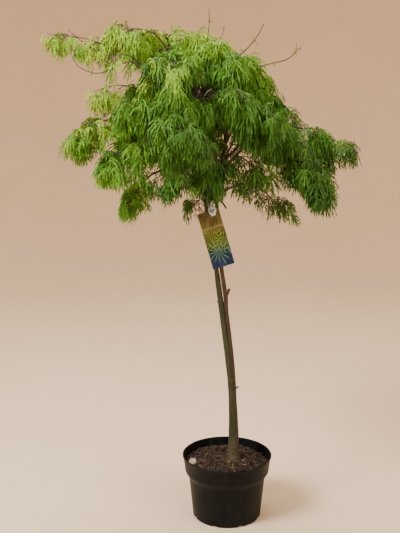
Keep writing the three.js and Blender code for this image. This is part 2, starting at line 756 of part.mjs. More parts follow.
// ---------------------------------------------------------------- the plant
const plant = new THREE.Group();
plant.name = "potted_laceleaf_maple";
plant.add(makePot(), makeSoil(), makeTrunk());
plant.add(makeLeader("left_leader", PATHS.left, [], MATERIALS.bark));
plant.add(makeLeader("right_leader", PATHS.right, RIGHT_SPURS, MATERIALS.youngBark));
for (const card of [makeLabel(), makePriceTag()]) {
  plant.add(card);
  keptClear.push(toSolid(card.geometry));
}
for (const mass of masses) {
  if (mass.bough) plant.add(makeBough(mass));
  plant.add(mesh("foliage_" + mass.name, toGeometry(growMass(mass)), leafMaterial(mass)));
}

export default plant;
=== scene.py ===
"""A weeping laceleaf maple grafted on a tall bare stem, in a black nursery pot.

Metres, +Z up, the origin at the centre of the pot's flat underside, +Y towards the back.
The crown repeats the growth of the solid model: every foliage mass branches by a seeded rule from
one stem, inside its own space, and here it is carried on to finer twigs and to real leaves.
"""
import math

import bpy
import numpy as np
from mathutils import Matrix, Vector, noise


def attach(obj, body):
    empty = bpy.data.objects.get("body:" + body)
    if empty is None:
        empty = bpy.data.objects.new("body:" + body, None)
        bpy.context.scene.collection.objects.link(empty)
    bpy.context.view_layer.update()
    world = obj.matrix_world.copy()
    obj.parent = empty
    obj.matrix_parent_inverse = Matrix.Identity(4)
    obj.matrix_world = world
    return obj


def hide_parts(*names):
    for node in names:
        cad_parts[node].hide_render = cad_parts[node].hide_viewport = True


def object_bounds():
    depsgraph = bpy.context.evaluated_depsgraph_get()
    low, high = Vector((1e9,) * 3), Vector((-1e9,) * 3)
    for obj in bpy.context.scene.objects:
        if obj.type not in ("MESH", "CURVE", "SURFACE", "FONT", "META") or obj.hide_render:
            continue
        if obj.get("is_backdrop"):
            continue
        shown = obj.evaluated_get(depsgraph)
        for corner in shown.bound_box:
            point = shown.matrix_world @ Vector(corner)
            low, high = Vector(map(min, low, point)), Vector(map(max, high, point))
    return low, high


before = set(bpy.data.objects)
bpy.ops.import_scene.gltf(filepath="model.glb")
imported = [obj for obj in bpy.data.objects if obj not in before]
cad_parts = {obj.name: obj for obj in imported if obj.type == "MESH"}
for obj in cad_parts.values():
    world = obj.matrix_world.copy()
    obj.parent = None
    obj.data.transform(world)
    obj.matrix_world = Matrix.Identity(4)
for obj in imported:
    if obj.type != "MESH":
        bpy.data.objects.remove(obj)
cad_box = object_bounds()

TAU = 2 * math.pi
UP = np.array((0.0, 0.0, 1.0))
LEVEL = (1, 1, 0)
UPRIGHT = Vector(UP)

# ---------------------------------------------------------------- sizes of pot, soil and labels
POT = {
    "height": 0.172,
    "rim": 0.120,
    "lip": 0.0014,  # how far the band's wall stands in from the rim
    "band_foot": (0.113, 0.126),  # radius and height where the wide band ends
    "step": (0.103, 0.1135),  # radius and height where the step below the band ends
    "base": 0.092,
    "wall": 0.0024,
    "floor": 0.003,
    "inner_rise": 0.0008,  # how much higher the inner wall has its steps
    "inner_top": 0.150,
    "edge": 0.0005,
    "segments": 128,
    "notches": 8,
    "notch_size": (0.016, 0.015, 0.010),
}
# Roundings of the outer wall: offsets in radius and height from the base, step, band's foot and rim.
BASE_ROUND = ((-0.004, 0.0), (-0.0015, 0.0006), (0.0, 0.0025), (0.0006, 0.010))
STEP_ROUND = ((-0.0011, -0.012), (-0.0004, -0.003), (0.0014, 0.0))
BAND_ROUND = ((-0.0016, -0.0012), (0.0, 0.0016), (0.0008, 0.006))
RIM_ROUND = ((-0.0022, -0.0070), (-0.0016, -0.0054), (-0.0002, -0.0050), (0.0, -0.0040),
             (0.0, -0.0012), (-0.0008, 0.0), (-0.0024, 0.0), (-0.0034, -0.0010), (-0.0038, -0.0030))
SOIL = {"edge": 0.148, "crown": 0.1545, "relief": 0.0032, "gap": 0.0006, "rings": 30, "segments": 96}
FOOT = (0.017, 0.008)  # where the stem stands
# Chips of bark on the soil: piece, finish, count, greatest length and seed.
CHIPS = (
    ("dark_chips", "chip_dark", 760, 0.021, 3),
    ("warm_chips", "chip_warm", 430, 0.018, 4),
    ("pale_chips", "chip_pale", 120, 0.012, 5),
)
CHIP = {"edge_gap": 0.004, "stem_gap": 0.019, "long": (0.35, 1.0), "wide": (0.22, 0.5),
        "thick": (0.0008, 0.0022), "split": (0.55, 1.1), "tilt": 0.32, "roll": 0.35,
        "lift": (0.0002, 0.0024)}
FIBRE = {"count": 150, "edge_gap": 0.010, "stem_gap": 0.024, "long": (0.007, 0.020), "bend": 0.5,
         "lift": 0.0022, "wave": 0.002, "radii": (0.0005, 0.0003), "points": 6}
GRAIN = {"centre": (-0.093, -0.020, 0.1570), "radius": 0.0084, "flat": 0.8,
         "knobs": ((0.60, 3.6), (0.40, 8.3))}

LABEL = {
    "size": (0.060, 0.0009, 0.146),
    "corner": (-0.080, -0.017, 0.824),
    "rounding": 0.003,
    "across": (0.9, -0.3, 0.34),
    "down": (0.27, -0.22, -0.93),
    "loop": (0.846, 0.005),  # height and width
    "strap": 0.007,  # width
    "hold": 0.003,  # how far down the card the strap holds it
    "clear": (0.004, 0.008, 0.006, 0.16),  # from leaves: at the sides, above, behind and in front
}
PRICE_TAG = {
    "size": (0.0235, 0.0008, 0.0245),
    "shape": ((0.2, 0), (0.8, 0), (1, 0.45), (0.72, 1), (0.28, 1), (0, 0.45)),
    "offset": (0.031, -0.008, 0.004),  # from the label's corner: across, down and forwards
    "loop": (0.866, 0.0032),
    "strap": 0.0032,
    "hold": (0.4, 0.002),  # where the strap holds it: share of its width, and down
    "bars": ((0.20, 0.36, 0.62, 0.13), (0.30, 0.56, 0.42, 0.10)),  # left, top, width, height
    "print": 0.0002,
}
LOOP_GAP = 0.0008  # between a leader and the band round it
STRAP_REACH = 0.0013  # how far in front of the leader a strap starts

# ---------------------------------------------------------------- limbs, as rows of x, y, z, radius
FORK = 0.570
MAIN_STEM = [
    (0.0170, 0.008, 0.1530, 0.0164),
    (0.0165, 0.008, 0.1720, 0.0134),
    (0.0160, 0.007, 0.2070, 0.0122),
    (0.0148, 0.006, 0.2640, 0.0100),
    (0.0126, 0.004, 0.3220, 0.0090),
    (0.0075, 0.003, 0.3930, 0.0088),
    (0.0020, 0.002, 0.4340, 0.0082),
    (-0.0050, 0.002, 0.4890, 0.0078),
    (-0.0160, 0.002, FORK, 0.0076),
]
SIDE_STEM = [
    (0.0250, 0.006, 0.1530, 0.0098),
    (0.0250, 0.006, 0.1720, 0.0084),
    (0.0250, 0.005, 0.2070, 0.0070),
    (0.0236, 0.004, 0.2640, 0.0058),
    (0.0202, 0.002, 0.3220, 0.0050),
    (0.0158, 0.001, 0.3930, 0.0054),
    (0.0118, 0.000, 0.4340, 0.0055),
    (0.0062, -0.001, 0.4890, 0.0053),
    (-0.0040, -0.002, FORK, 0.0053),
]
LEFT_LEADER = [
    (-0.0215, 0.002, 0.611, 0.0074),
    (-0.0312, 0.003, 0.681, 0.0062),
    (-0.0440, 0.004, 0.760, 0.0060),
    (-0.0560, 0.006, 0.839, 0.0058),
    (-0.0660, 0.008, 0.900, 0.0062),
    (-0.0740, 0.010, 0.985, 0.0060),
    (-0.0840, 0.014, 1.105, 0.0046),
]
RIGHT_LEADER = [
    (-0.0065, -0.003, 0.611, 0.0059),
    (-0.0173, -0.004, 0.681, 0.0053),
    (-0.0250, -0.005, 0.760, 0.0052),
    (-0.0300, -0.006, 0.859, 0.0052),
    (-0.0240, -0.010, 0.920, 0.0054),
    (-0.0100, -0.014, 1.000, 0.0050),
    (-0.0040, -0.018, 1.105, 0.0040),
]
# Short stubs of old side shoots: the stem that they stand on, foot, tip and radius.
STUBS = [
    ("side", (-0.004, -0.003, 0.612), (0.004, -0.004, 0.628), 0.0042),
    ("side", (0.018, 0.001, 0.352), (0.030, 0.000, 0.361), 0.0025),
    ("main", (-0.020, 0.001, 0.590), (-0.029, -0.001, 0.594), 0.0018),
    ("side", (-0.028, -0.007, 0.874), (-0.006, -0.016, 0.839), 0.0027),
]

# How a limb is modelled: the distance between its rings, its sides and the depth of its bark's relief.
MAIN_FORM = (0.0022, 32, 0.0009)
SIDE_FORM = (0.0022, 24, 0.0008)
STUB_FORM = (0.0015, 12, 0.0004)
BOUGH_FORM = (0.004, 16, 0.0006)
# Heights of the ring scars, their width and depth.
MAIN_SCARS = ((0.334, 0.341, 0.47, 0.588, 0.66, 0.79), 0.0016, 0.0006)
SIDE_SCARS = ((0.352, 0.43, 0.606, 0.72, 0.80), 0.0018, 0.0006)
BUTTRESS = {"centre": (0.020, 0.007), "low": 0.150, "tall": 0.035, "spread": (0.0012, 0.0026), "count": 5,
            "turn": 0.8}

# ---------------------------------------------------------------- foliage masses
# Each mass: leader, height of its bough on the leader, the bough's control point, the two ends of
# the space's axis, the space's radius, the seed of its growth, and how full of leaves it is.
MASSES = {
    "far_left": ("left", 1.078, (-0.180, 0.004, 1.160), (-0.262, -0.026, 1.203),
                 (-0.438, -0.062, 1.255), 0.036, 27, 0.8),
    "loop_left": ("left", 1.044, (-0.150, -0.060, 1.120), (-0.222, -0.110, 1.186),
                  (-0.316, -0.124, 1.184), 0.034, 21, 0.7),
    "top_left": ("left", 1.098, (-0.118, -0.008, 1.180), (-0.166, -0.030, 1.226),
                 (-0.270, -0.044, 1.262), 0.058, 21, 0.8),
    "top_centre": ("left", 1.062, (-0.070, 0.056, 1.140), (-0.150, 0.040, 1.224),
                   (-0.050, 0.066, 1.238), 0.072, 26, 1),
    "top_right": ("right", 1.098, (-0.006, -0.026, 1.150), (-0.040, -0.028, 1.200),
                  (0.044, -0.036, 1.172), 0.066, 5, 1),
    "right_shoulder": ("right", 1.070, (0.022, 0.010, 1.120), (0.050, 0.026, 1.140),
                       (0.106, 0.024, 1.076), 0.074, 4, 1),
    "front_upper": ("left", 1.024, (-0.108, -0.080, 1.130), (-0.128, -0.150, 1.154),
                    (-0.112, -0.206, 1.092), 0.088, 9, 1),
    "upper_left": ("left", 1.010, (-0.140, -0.060, 1.110), (-0.186, -0.110, 1.120),
                   (-0.222, -0.160, 1.070), 0.076, 14, 1),
    "front_right": ("right", 1.036, (-0.008, -0.090, 1.110), (-0.004, -0.136, 1.100),
                    (0.092, -0.184, 1.056), 0.072, 5, 1),
    "left_mid": ("left", 0.998, (-0.150, -0.006, 1.080), (-0.222, -0.020, 1.112),
                 (-0.332, -0.046, 1.118), 0.048, 12, 0.85),
    "left_finger": ("left", 0.972, (-0.190, -0.034, 1.080), (-0.290, -0.066, 1.046),
                    (-0.392, -0.084, 0.990), 0.044, 2, 0.9),
    "left_lower": ("left", 0.940, (-0.130, -0.080, 1.056), (-0.188, -0.132, 1.014),
                   (-0.280, -0.160, 0.936), 0.060, 7, 1),
    "left_tail": ("left", 0.902, (-0.146, -0.050, 0.968), (-0.204, -0.080, 0.906),
                  (-0.246, -0.096, 0.836), 0.037, 2, 0.9),
    "front_centre": ("left", 0.958, (-0.112, -0.130, 1.080), (-0.150, -0.210, 1.046),
                     (-0.084, -0.256, 1.006), 0.068, 13, 1),
    "centre_bottom": ("right", 0.934, (-0.040, -0.080, 1.000), (-0.054, -0.124, 0.962),
                      (-0.050, -0.132, 0.900), 0.056, 2, 1),
    "left_drop": ("left", 0.874, (-0.100, -0.080, 0.945), (-0.124, -0.140, 0.920),
                  (-0.140, -0.156, 0.890), 0.044, 13, 1),
    "tag_clump": ("left", 0.862, None, (-0.074, -0.022, 0.850),
                  (-0.094, -0.042, 0.836), 0.043, 9, 4),
    "right_low": ("right", 0.898, (0.002, -0.044, 0.975), (0.018, -0.066, 0.952),
                  (0.086, -0.070, 0.904), 0.056, 6, 0.7),
    "bottom_right": ("right", 0.872, (0.044, -0.018, 0.925), (0.090, -0.034, 0.870),
                     (0.152, -0.042, 0.802), 0.034, 8, 0.5),
    "right_fall": ("right", 0.952, (0.070, -0.060, 1.060), (0.124, -0.098, 1.004),
                   (0.232, -0.130, 0.876), 0.060, 11, 1),
    "right_finger": ("right", 0.928, (0.090, 0.006, 1.060), (0.154, 0.020, 1.024),
                     (0.300, 0.008, 0.968), 0.056, 2, 0.8),
    "back_left": ("left", 1.022, (-0.140, 0.100, 1.130), (-0.200, 0.170, 1.086),
                  (-0.250, 0.210, 0.986), 0.084, 7, 1),
    "back_top": ("left", 1.040, (-0.060, 0.090, 1.140), (-0.050, 0.134, 1.150),
                 (0.036, 0.150, 1.132), 0.080, 21, 1),
    "back_centre": ("left", 0.992, (-0.076, 0.150, 1.110), (-0.074, 0.236, 1.060),
                    (-0.074, 0.276, 0.980), 0.088, 4, 1),
    "back_right": ("right", 1.002, (0.044, 0.100, 1.100), (0.096, 0.170, 1.060),
                   (0.150, 0.206, 0.980), 0.082, 6, 1),
    "back_left_low": ("left", 0.926, (-0.116, 0.100, 1.000), (-0.160, 0.160, 0.930),
                      (-0.184, 0.190, 0.872), 0.062, 10, 1),
    "back_right_low": ("right", 0.914, (0.000, 0.090, 0.990), (0.020, 0.140, 0.978),
                       (0.056, 0.190, 0.880), 0.066, 18, 1),
}
SPACE_TALL = 1.4  # a mass's space is this much taller than it is wide
ABOVE = 0.8  # height of a space above its axis, as a share of its radius
BELOW = 1.45  # and below its axis, where the sprays hang
BEHIND = 1.7  # of the radius, how far a space reaches back from the start of its axis
STEM_ABOVE = 0.4  # of the radius, how far a mass's stem runs above its space's axis
STEM_BEND = 0.45  # of a stem's length, how long it keeps its first heading
STEM_POINTS = 12
BOUGH_TIP = 0.0019  # radius
BOUGH_FOOT = 0.0024  # radius at the leader, and its gain with the radius of the mass
BOUGH_GAIN = 0.035
BOUGH_POINTS = 14
BOUGH_BARE = 0.5  # share of a bough from its root that carries no twigs
BOUGH_SHADE = -0.12  # how much darker the leaves along a bough look: painted shade inside the crown, and older leaves
WALL_SHARE = 0.2  # of the way to a neighbour, the nearest that a wall may stand
WALL_BLEND = 0.034  # how far twigs and leaves of neighbouring masses may mix
UNEVEN = 0.30  # share of its radius by which a space swells and shrinks along its skin

TWIG = {
    "stem_radius": 0.0018,
    "side_radius": 0.0012,
    "fine_radius": 0.0007,
    "tip_share": 0.4,  # of the radius, at the tip
    "side_step": 0.0115,  # along a mass's stem, between side twigs
    "fine_step": 0.015,  # along a side twig, between fine twigs
    "fine_length": 0.034,
    "first": 0.05,  # share of a mass's stem before its first twigs
    "last": 0.98,
    "fine_part": (0.18, 0.76),  # where fine twigs start, and over how much of a side twig they stand
    "side_length": (1.25, 0.35),  # of the radius at the stem's foot, and how much less at its end
    "side_range": (0.55, 1.15),
    "fine_range": (0.6, 1.1),
    "shrinks": (1.0, 0.85, 0.7, 0.56, 0.43, 0.3),  # lengths that are tried where space is short
    "ahead": (0.5, 0.3),  # how far a side twig heads along its parent: the least, and the range above it
    "aside": 0.85,
    "rise": (-0.3, 0.2),
    "bend": (0.55, 0.10),  # of its length, where a side twig bends down: outwards and up
    "reach": 0.92,
    "sag": (0.10, 0.58),  # of its length, how far a side twig falls
    "pair_turn": 0.9,  # from each pair of twigs to the next
    "side_full": (0.55, 0.45),  # share of the twigs in the thinnest mass, and what a full one adds
    "fine_full": (0.45, 0.45),
    "side_wander": (0.25, 0.25),  # how far twigs stray from their even places, and from their even turns
    "fine_wander": (0.3, 0.3),
    "tone": 0.11,  # how much the twigs differ in age
    "weeping": 0.8,  # share of the side twigs that carry a twig that hangs
    "hang_length": (0.7, 1.6),  # of the radius
    "hang_lean": (0.15, 0.55),
    "hang_part": (0.3, 0.9),  # of its parent's length, where it leaves
    "hang_wander": 0.35,
    "hang_bend": (0.20, 0.5, 0.06),  # outwards, outwards by its lean, and up
    "hang_fall": 0.85,
    "hang_radius": 0.8,  # of a side twig's
    "hang_shrinks": (1.0, 0.8, 0.64, 0.5, 0.38),
    "hang_tone": -0.06,
    "points": 6,
    "skin": 0.004,  # how far inside its mass's skin a twig stays
}
LEAF = {
    "length": 0.050,  # of the middle lobe, before it bends down
    "least": 0.5,  # share of the length that a leaf may shrink to where space is short
    "tries": 7,
    "step": 0.0150,  # along a twig, between pairs of leaves
    "stalk": 0.015,
    "stalk_radius": 0.00045,
    "half_width": 0.0021,
    "lobes": (-84, -57, -28, 0, 28, 57, 84),  # degrees from the middle lobe
    "reach": (0.58, 0.82, 0.96, 1.0, 0.96, 0.82, 0.58),
    "slow": 0.30,  # how much a lobe's own run slows down towards its tip
    "fall": 0.46,  # of the lobe's length, how far gravity draws its tip down
    # Half width of a lobe at its stations, as a share: teeth stand out at every second one.
    "outline": (0.16, 0.62, 0.34, 1.0, 0.38, 0.84, 0.26),
    "tooth_lean": 0.35,  # of a station's stretch, how far a tooth points forward
    "clear": 0.0012,  # from limbs
    "bare": (0.1, 0.3),  # share of a mass's stem, and of a twig, before its first leaves
    "patchy": (0.86, 0.45),  # share of the pairs that grow, and how much it changes with the place
    "pair_turn": 1.1,
    "offset": 0.7,  # of a step, before the first pair
    "last": 0.98,  # of its twig's length, where the last pair grows
    "on_stem": 0.7,  # share of the pairs that grow straight from a mass's stem
    "full": (0.35, 0.65),  # share of the leaves in the thinnest mass, and what a full one adds
    "patch_size": 0.7,
    "wander": 0.3,
    "by_tone": (1.22, 0.42, 0.7, 1.08),  # size at tone 0, loss by tone 1, and its least and greatest
    "ahead": 0.9,
    "spread": (0.7, 0.75, 0.25),  # how far a leaf heads along its twig, sideways and up
    "sizes": (0.86, 0.28),  # the least size, and the range above it
    "sway": (1.2, 1.2, 0.4),
    "droop": (0.05, 0.75),  # the least droop, and the range above it
    "skin": (0.004, 0.002),  # how far a leaf's tips and its palm may stand out of the mass's skin
    "lobe_turn": 0.09,  # how much the lobes differ in heading, lift, length and roll
    "lobe_lift": (0.05, 0.12),
    "lobe_length": (0.86, 1.1),
    "lobe_roll": 0.55,
    "lobe_start": 0.02,  # share of a lobe's length before its first station
    "widths": (0.8, 0.4),  # the least width, and the range above it
    "stalk_bow": 0.003,
    "stalk_rings": ((0.0, 1.3), (0.5, 1.0), (1.0, 0.8)),  # share of the stalk's length, and thickness
}
NEAR_LIMBS = 0.13  # limbs whose middle lies farther from a mass's twigs are left out of its clearances
PIECE_FACES = 190000  # the most triangles in one piece of leaves
# A hollow among the sprays in front, where bare branches show.
HOLLOW = {"centre": (-0.066, -0.045, 1.120), "half_width": 0.029, "half_height": 0.015}
# Gaps low in the crown where light comes through: x, z, half width, half height, and the share of
# the leaves that are missing at the middle.
GAPS = [
    (0.040, 0.964, 0.062, 0.038, 0.76),
    (0.044, 0.900, 0.056, 0.038, 0.62),
    (-0.182, 0.896, 0.026, 0.062, 0.95),
    (-0.112, 0.878, 0.022, 0.026, 0.80),
    (-0.010, 1.020, 0.020, 0.020, 0.50),
]
GAP_TWIGS = 0.35  # how much fewer twigs than leaves are missing there
# How light the leaves look, partly painted light and partly their age: at a middle place, and how much
# that place's height, its way to the left towards the key lamp, its height within the mass (painted light
# on top, painted shade below) and its way to the front (painted shade) count.
LEAF_LIGHT_AND_AGE = {"middle": 0.34, "level": 1.06, "side": -0.12, "front": -0.04,
       "high": 0.19, "left": 0.22, "tier": 0.14, "forward": 0.08,
       "rise": 0.20, "breadth": 0.30, "depth": 0.2,  # distances that change the tone by one such share
       "along": 0.10, "tip": 0.16, "own": 0.03}
# How much lighter or darker than the rest some masses look: partly painted light, lighter on the lit top
# and left and darker in front, partly their own age.
MASS_LIGHT_AND_AGE_SHIFTS = {
    "top_centre": 0.12, "top_right": 0.03, "far_left": 0.03, "left_mid": 0.15, "left_finger": 0.14,
    "left_lower": 0.11, "left_tail": 0.25, "right_finger": 0.06, "right_fall": 0.05,
    "front_right": -0.08, "front_centre": -0.10, "upper_left": 0.0, "front_upper": -0.02,
}
# Bare young shoots that stand out of the crown: the points from foot to tip, and the radius.
BARE_SHOOTS = [
    ([(0.000, -0.030, 1.196), (0.043, -0.034, 1.234), (0.066, -0.034, 1.262), (0.080, -0.032, 1.287)],
     0.0015),
    ([(0.053, -0.034, 1.246), (0.060, -0.036, 1.250), (0.066, -0.038, 1.244)], 0.0008),
    ([(0.005, -0.060, 1.143), (0.066, -0.046, 1.186), (0.134, -0.036, 1.205), (0.156, -0.033, 1.220),
      (0.171, -0.032, 1.234)], 0.0015),
    ([(0.150, -0.034, 1.214), (0.160, -0.036, 1.228), (0.161, -0.036, 1.240)], 0.0008),
    ([(-0.034, 0.064, 1.236), (-0.020, 0.062, 1.262), (-0.012, 0.062, 1.292)], 0.0010),
    ([(-0.054, 0.062, 1.250), (-0.050, 0.062, 1.300), (-0.050, 0.062, 1.334)], 0.0010),
    ([(-0.301, -0.050, 1.212), (-0.352, -0.054, 1.244), (-0.370, -0.056, 1.258), (-0.387, -0.056, 1.272)],
     0.0009),
    ([(-0.190, -0.110, 1.179), (-0.239, -0.118, 1.196), (-0.284, -0.124, 1.178), (-0.319, -0.124, 1.170),
      (-0.356, -0.122, 1.185), (-0.372, -0.110, 1.206)], 0.0013),
]
BARE_TURN = 1.57  # from each pair of buds or young leaves to the next
BUD = {"step": 0.013, "first": 0.25, "out": 0.0016, "ahead": 0.0034, "radii": (0.0004, 0.0009, 0.0002),
       "end_step": 0.002, "end_radii": (0.0006, 0.0011, 0.0002)}
# The first shoots carry young leaves along a part of their length.
YOUNG = {"shoots": 6, "part": (0.16, 0.72), "step": 0.020, "length": (0.018, 0.034),
         "droop": (0.1, 0.7), "tone": (0.62, 0.95)}
# Pale dead twigs that cross in the hollow, joined to the bough above it.
DEAD_TWIGS = [
    ([(-0.110, -0.091, 1.134), (-0.098, -0.100, 1.124), (-0.086, -0.104, 1.112), (-0.078, -0.098, 1.100)],
     0.0021),
    ([(-0.084, -0.104, 1.110), (-0.077, -0.106, 1.124), (-0.071, -0.100, 1.138)], 0.0018),
    ([(-0.080, -0.102, 1.104), (-0.066, -0.105, 1.114), (-0.056, -0.102, 1.127), (-0.046, -0.096, 1.135)],
     0.0014),
    ([(-0.070, -0.104, 1.111), (-0.054, -0.100, 1.112), (-0.040, -0.094, 1.120)], 0.0012),
]

# Leaf finishes from the darkest to the lightest, dealt out by painted light and shade together with the
# leaves' age: the record's slot, a darker and a lighter green.
LEAF_TONES = {
    "leaves_shaded_deep": ("leaf_deep", (0.022, 0.078, 0.006), (0.044, 0.130, 0.010)),
    "leaves_green": ("leaf_deep", (0.036, 0.122, 0.008), (0.070, 0.195, 0.014)),
    "leaves_mid": ("leaf_green", (0.052, 0.170, 0.009), (0.098, 0.265, 0.018)),
    "leaves_lit_fresh": ("leaf_green", (0.096, 0.250, 0.011), (0.165, 0.370, 0.024)),
    "leaves_lime": ("leaf_lime", (0.175, 0.345, 0.014), (0.285, 0.500, 0.034)),
    "leaves_lit_young": ("leaf_lime", (0.260, 0.430, 0.016), (0.400, 0.580, 0.040)),
}


# ---------------------------------------------------------------- small helpers
def unit(vectors):
    lengths = np.linalg.norm(vectors, axis=-1, keepdims=True)
    return vectors / np.maximum(lengths, 1e-9)


def clear_selection():
    """Nothing stays selected, so the next operator acts on the new piece alone."""
    if bpy.context.object and bpy.context.object.mode != "OBJECT":
        bpy.ops.object.mode_set(mode="OBJECT")
    bpy.ops.object.select_all(action="DESELECT")


def pick(piece):
    clear_selection()
    piece.select_set(True)
    bpy.context.view_layer.objects.active = piece


def apply_modifier(piece, kind, **settings):
    pick(piece)
    modifier = piece.modifiers.new(kind.title(), kind)
    for key, value in settings.items():
        setattr(modifier, key, value)
    bpy.ops.object.modifier_apply(modifier=modifier.name)


def smooth(piece, degrees=60):
    pick(piece)
    bpy.ops.object.shade_smooth_by_angle(angle=math.radians(degrees))


def join(name, pieces):
    pick(pieces[0])
    for piece in pieces[1:]:
        piece.select_set(True)
    bpy.ops.object.join()
    pieces[0].name = name
    return pieces[0]


def finish_piece(piece, name, material, slot, *nodes):
    """Names a piece, gives it its material and hides the solids that it stands for."""
    piece.name = name
    piece.data.name = name
    piece.data.materials.clear()
    piece.data.materials.append(material)
    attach(piece, "root")
    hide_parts(*nodes)


def mesh_piece(name, vertices, faces):
    """A piece from arrays of points and triangles."""
    data = bpy.data.meshes.new(name)
    data.from_pydata(vertices, [], faces)
    data.update()
    piece = bpy.data.objects.new(name, data)
    bpy.context.scene.collection.objects.link(piece)
    return piece


# ---------------------------------------------------------------- shader node groups
class Wire:
    """A value that runs through a node tree. Arithmetic on it adds the math nodes."""

    def __init__(self, socket):
        self.socket = socket
        self.tree = socket.id_data

    def math(self, operation, *others):
        inputs = dict(enumerate((self, *others)))
        return Wire(new_node(self.tree, "Math", inputs, operation=operation).outputs[0])

    def __add__(self, other):
        return self.math("ADD", other)

    def __sub__(self, other):
        return self.math("SUBTRACT", other)

    def __rsub__(self, number):
        return self.math("MULTIPLY_ADD", -1.0, number)

    def __mul__(self, other):
        return self.math("MULTIPLY", other)


def feed(socket, source):
    """Links a wire to a socket, or sets a plain number, colour or vector on it."""
    if isinstance(source, Wire):
        source.tree.links.new(source.socket, socket)
    else:
        socket.default_value = (*source, 1.0) if socket.type == "RGBA" else source


def new_node(tree, kind, inputs=None, **settings):
    made = tree.nodes.new("ShaderNode" + kind)
    for key, value in settings.items():
        setattr(made, key, value)
    for label, source in (inputs or {}).items():
        feed(made.inputs[label], source)
    return made


def object_place(tree):
    return Wire(new_node(tree, "TexCoord").outputs["Object"])


def split(vector):
    """The three parts of a vector."""
    parts = new_node(vector.tree, "SeparateXYZ", {0: vector})
    return [Wire(part) for part in parts.outputs]


def soft_noise(place, scale, detail=4.0):
    inputs = {"Vector": place, "Scale": scale, "Detail": detail, "Roughness": 0.55}
    return Wire(new_node(place.tree, "TexNoise", inputs).outputs["Fac"])


def ramp(value, low, high):
    """0 below low, 1 above high, and a smooth slope between."""
    inputs = {"Value": value, "From Min": low, "From Max": high}
    made = new_node(value.tree, "MapRange", inputs, interpolation_type="SMOOTHSTEP")
    return Wire(made.outputs["Result"])


def mix(mask, first, second):
    inputs = {0: mask, 6: first, 7: second}
    return Wire(new_node(mask.tree, "Mix", inputs, data_type="RGBA").outputs[2])


def new_group(name, inputs, outputs):
    """A node group, the wires that it is given, and the sockets that it puts out."""
    group = bpy.data.node_groups.new(name, "ShaderNodeTree")
    for label, (kind, value) in inputs.items():
        socket = group.interface.new_socket(label, in_out="INPUT", socket_type="NodeSocket" + kind)
        socket.default_value = value
    for label, kind in outputs.items():
        group.interface.new_socket(label, in_out="OUTPUT", socket_type="NodeSocket" + kind)
    given = group.nodes.new("NodeGroupInput").outputs
    out = group.nodes.new("NodeGroupOutput").inputs
    return group, {label: Wire(given[label]) for label in inputs}, out


def mottle_group():
    """Two sizes of soft patches between two colours, and a height for a bump."""
    group, given, out = new_group(
        "mottle",
        {
            "Dark": ("Color", (0.1, 0.1, 0.1, 1)),
            "Light": ("Color", (0.3, 0.3, 0.3, 1)),
            "Scale": ("Float", 60.0),
            "Stretch": ("Vector", (1.0, 1.0, 1.0)),
            "Balance": ("Float", 0.5),
        },
        {"Color": "Color", "Mask": "Float", "Height": "Float"},
    )
    mapping = new_node(group, "Mapping", {"Vector": object_place(group), "Scale": given["Stretch"]})
    place = Wire(mapping.outputs["Vector"])
    finer = 5.3
    softness = 0.13
    broad = soft_noise(place, given["Scale"])
    fine = soft_noise(place, given["Scale"] * finer, 3.0)
    height = broad * 0.65 + fine * 0.35
    mask = ramp(height, given["Balance"] - softness, given["Balance"] + softness)
    feed(out["Color"], mix(mask, given["Dark"], given["Light"]))
    feed(out["Mask"], mask)
    feed(out["Height"], height)
    return group


def rings_group():
    """Thin level scars round a stem, at uneven heights."""
    inputs = {"Spacing": ("Float", 90.0), "Wander": ("Float", 0.004)}
    group, given, out = new_group("rings", inputs, {"Mask": "Float"})
    place = object_place(group)
    height = split(place)[2] + soft_noise(place, 45.0, 2.0) * given["Wander"]
    line = Wire(new_node(group, "CombineXYZ", {"Z": height}).outputs[0])
    feed(out["Mask"], ramp(soft_noise(line, given["Spacing"], 1.0), 0.64, 0.70))
    return group


def dust_group():
    """Pale dust that lies on what faces up, in soft patches."""
    inputs = {"Amount": ("Float", 0.5), "Scale": ("Float", 40.0)}
    group, given, out = new_group("dust", inputs, {"Mask": "Float"})
    normal = Wire(new_node(group, "NewGeometry").outputs["Normal"])
    facing = ramp(split(normal)[2], -0.2, 1.0) + 0.25
    patches = ramp(soft_noise(object_place(group), given["Scale"], 6.0), 0.4, 0.7)
    feed(out["Mask"], facing * patches * given["Amount"])
    return group


MOTTLE = mottle_group()
RINGS = rings_group()
DUST = dust_group()


# ---------------------------------------------------------------- materials
def new_material(name, shine):
    """A material, its node tree and its shader's sockets."""
    material = bpy.data.materials.new(name)
    material.use_nodes = True
    tree = material.node_tree
    tree.nodes.clear()
    shader = new_node(tree, "BsdfPrincipled")
    new_node(tree, "OutputMaterial", {"Surface": Wire(shader.outputs["BSDF"])})
    shader.inputs["Specular IOR Level"].default_value = shine
    return material, tree, shader.inputs


def use_group(tree, group, **values):
    """A group placed in a material with its own values: its outputs as wires."""
    inputs = {label.title(): value for label, value in values.items()}
    made = new_node(tree, "Group", inputs, node_tree=group)
    return {socket.name: Wire(socket) for socket in made.outputs}


def add_bump(shader, height, strength, distance):
    inputs = {"Strength": strength, "Distance": distance, "Height": height}
    feed(shader["Normal"], Wire(new_node(height.tree, "Bump", inputs).outputs["Normal"]))


def patchy_roughness(shader, mask, low, high):
    """Roughness that follows a mask."""
    feed(shader["Roughness"], mask.math("MULTIPLY_ADD", high - low, low))


def mottled_material(name, dark, light, scale, rough, bump=None, stretch=(1, 1, 1), shine=0.5):
    material, tree, shader = new_material(name, shine)
    patches = use_group(tree, MOTTLE, dark=dark, light=light, scale=scale, stretch=stretch)
    feed(shader["Base Color"], patches["Color"])
    patchy_roughness(shader, patches["Mask"], *rough)
    if bump:
        add_bump(shader, patches["Height"], *bump)
    return material


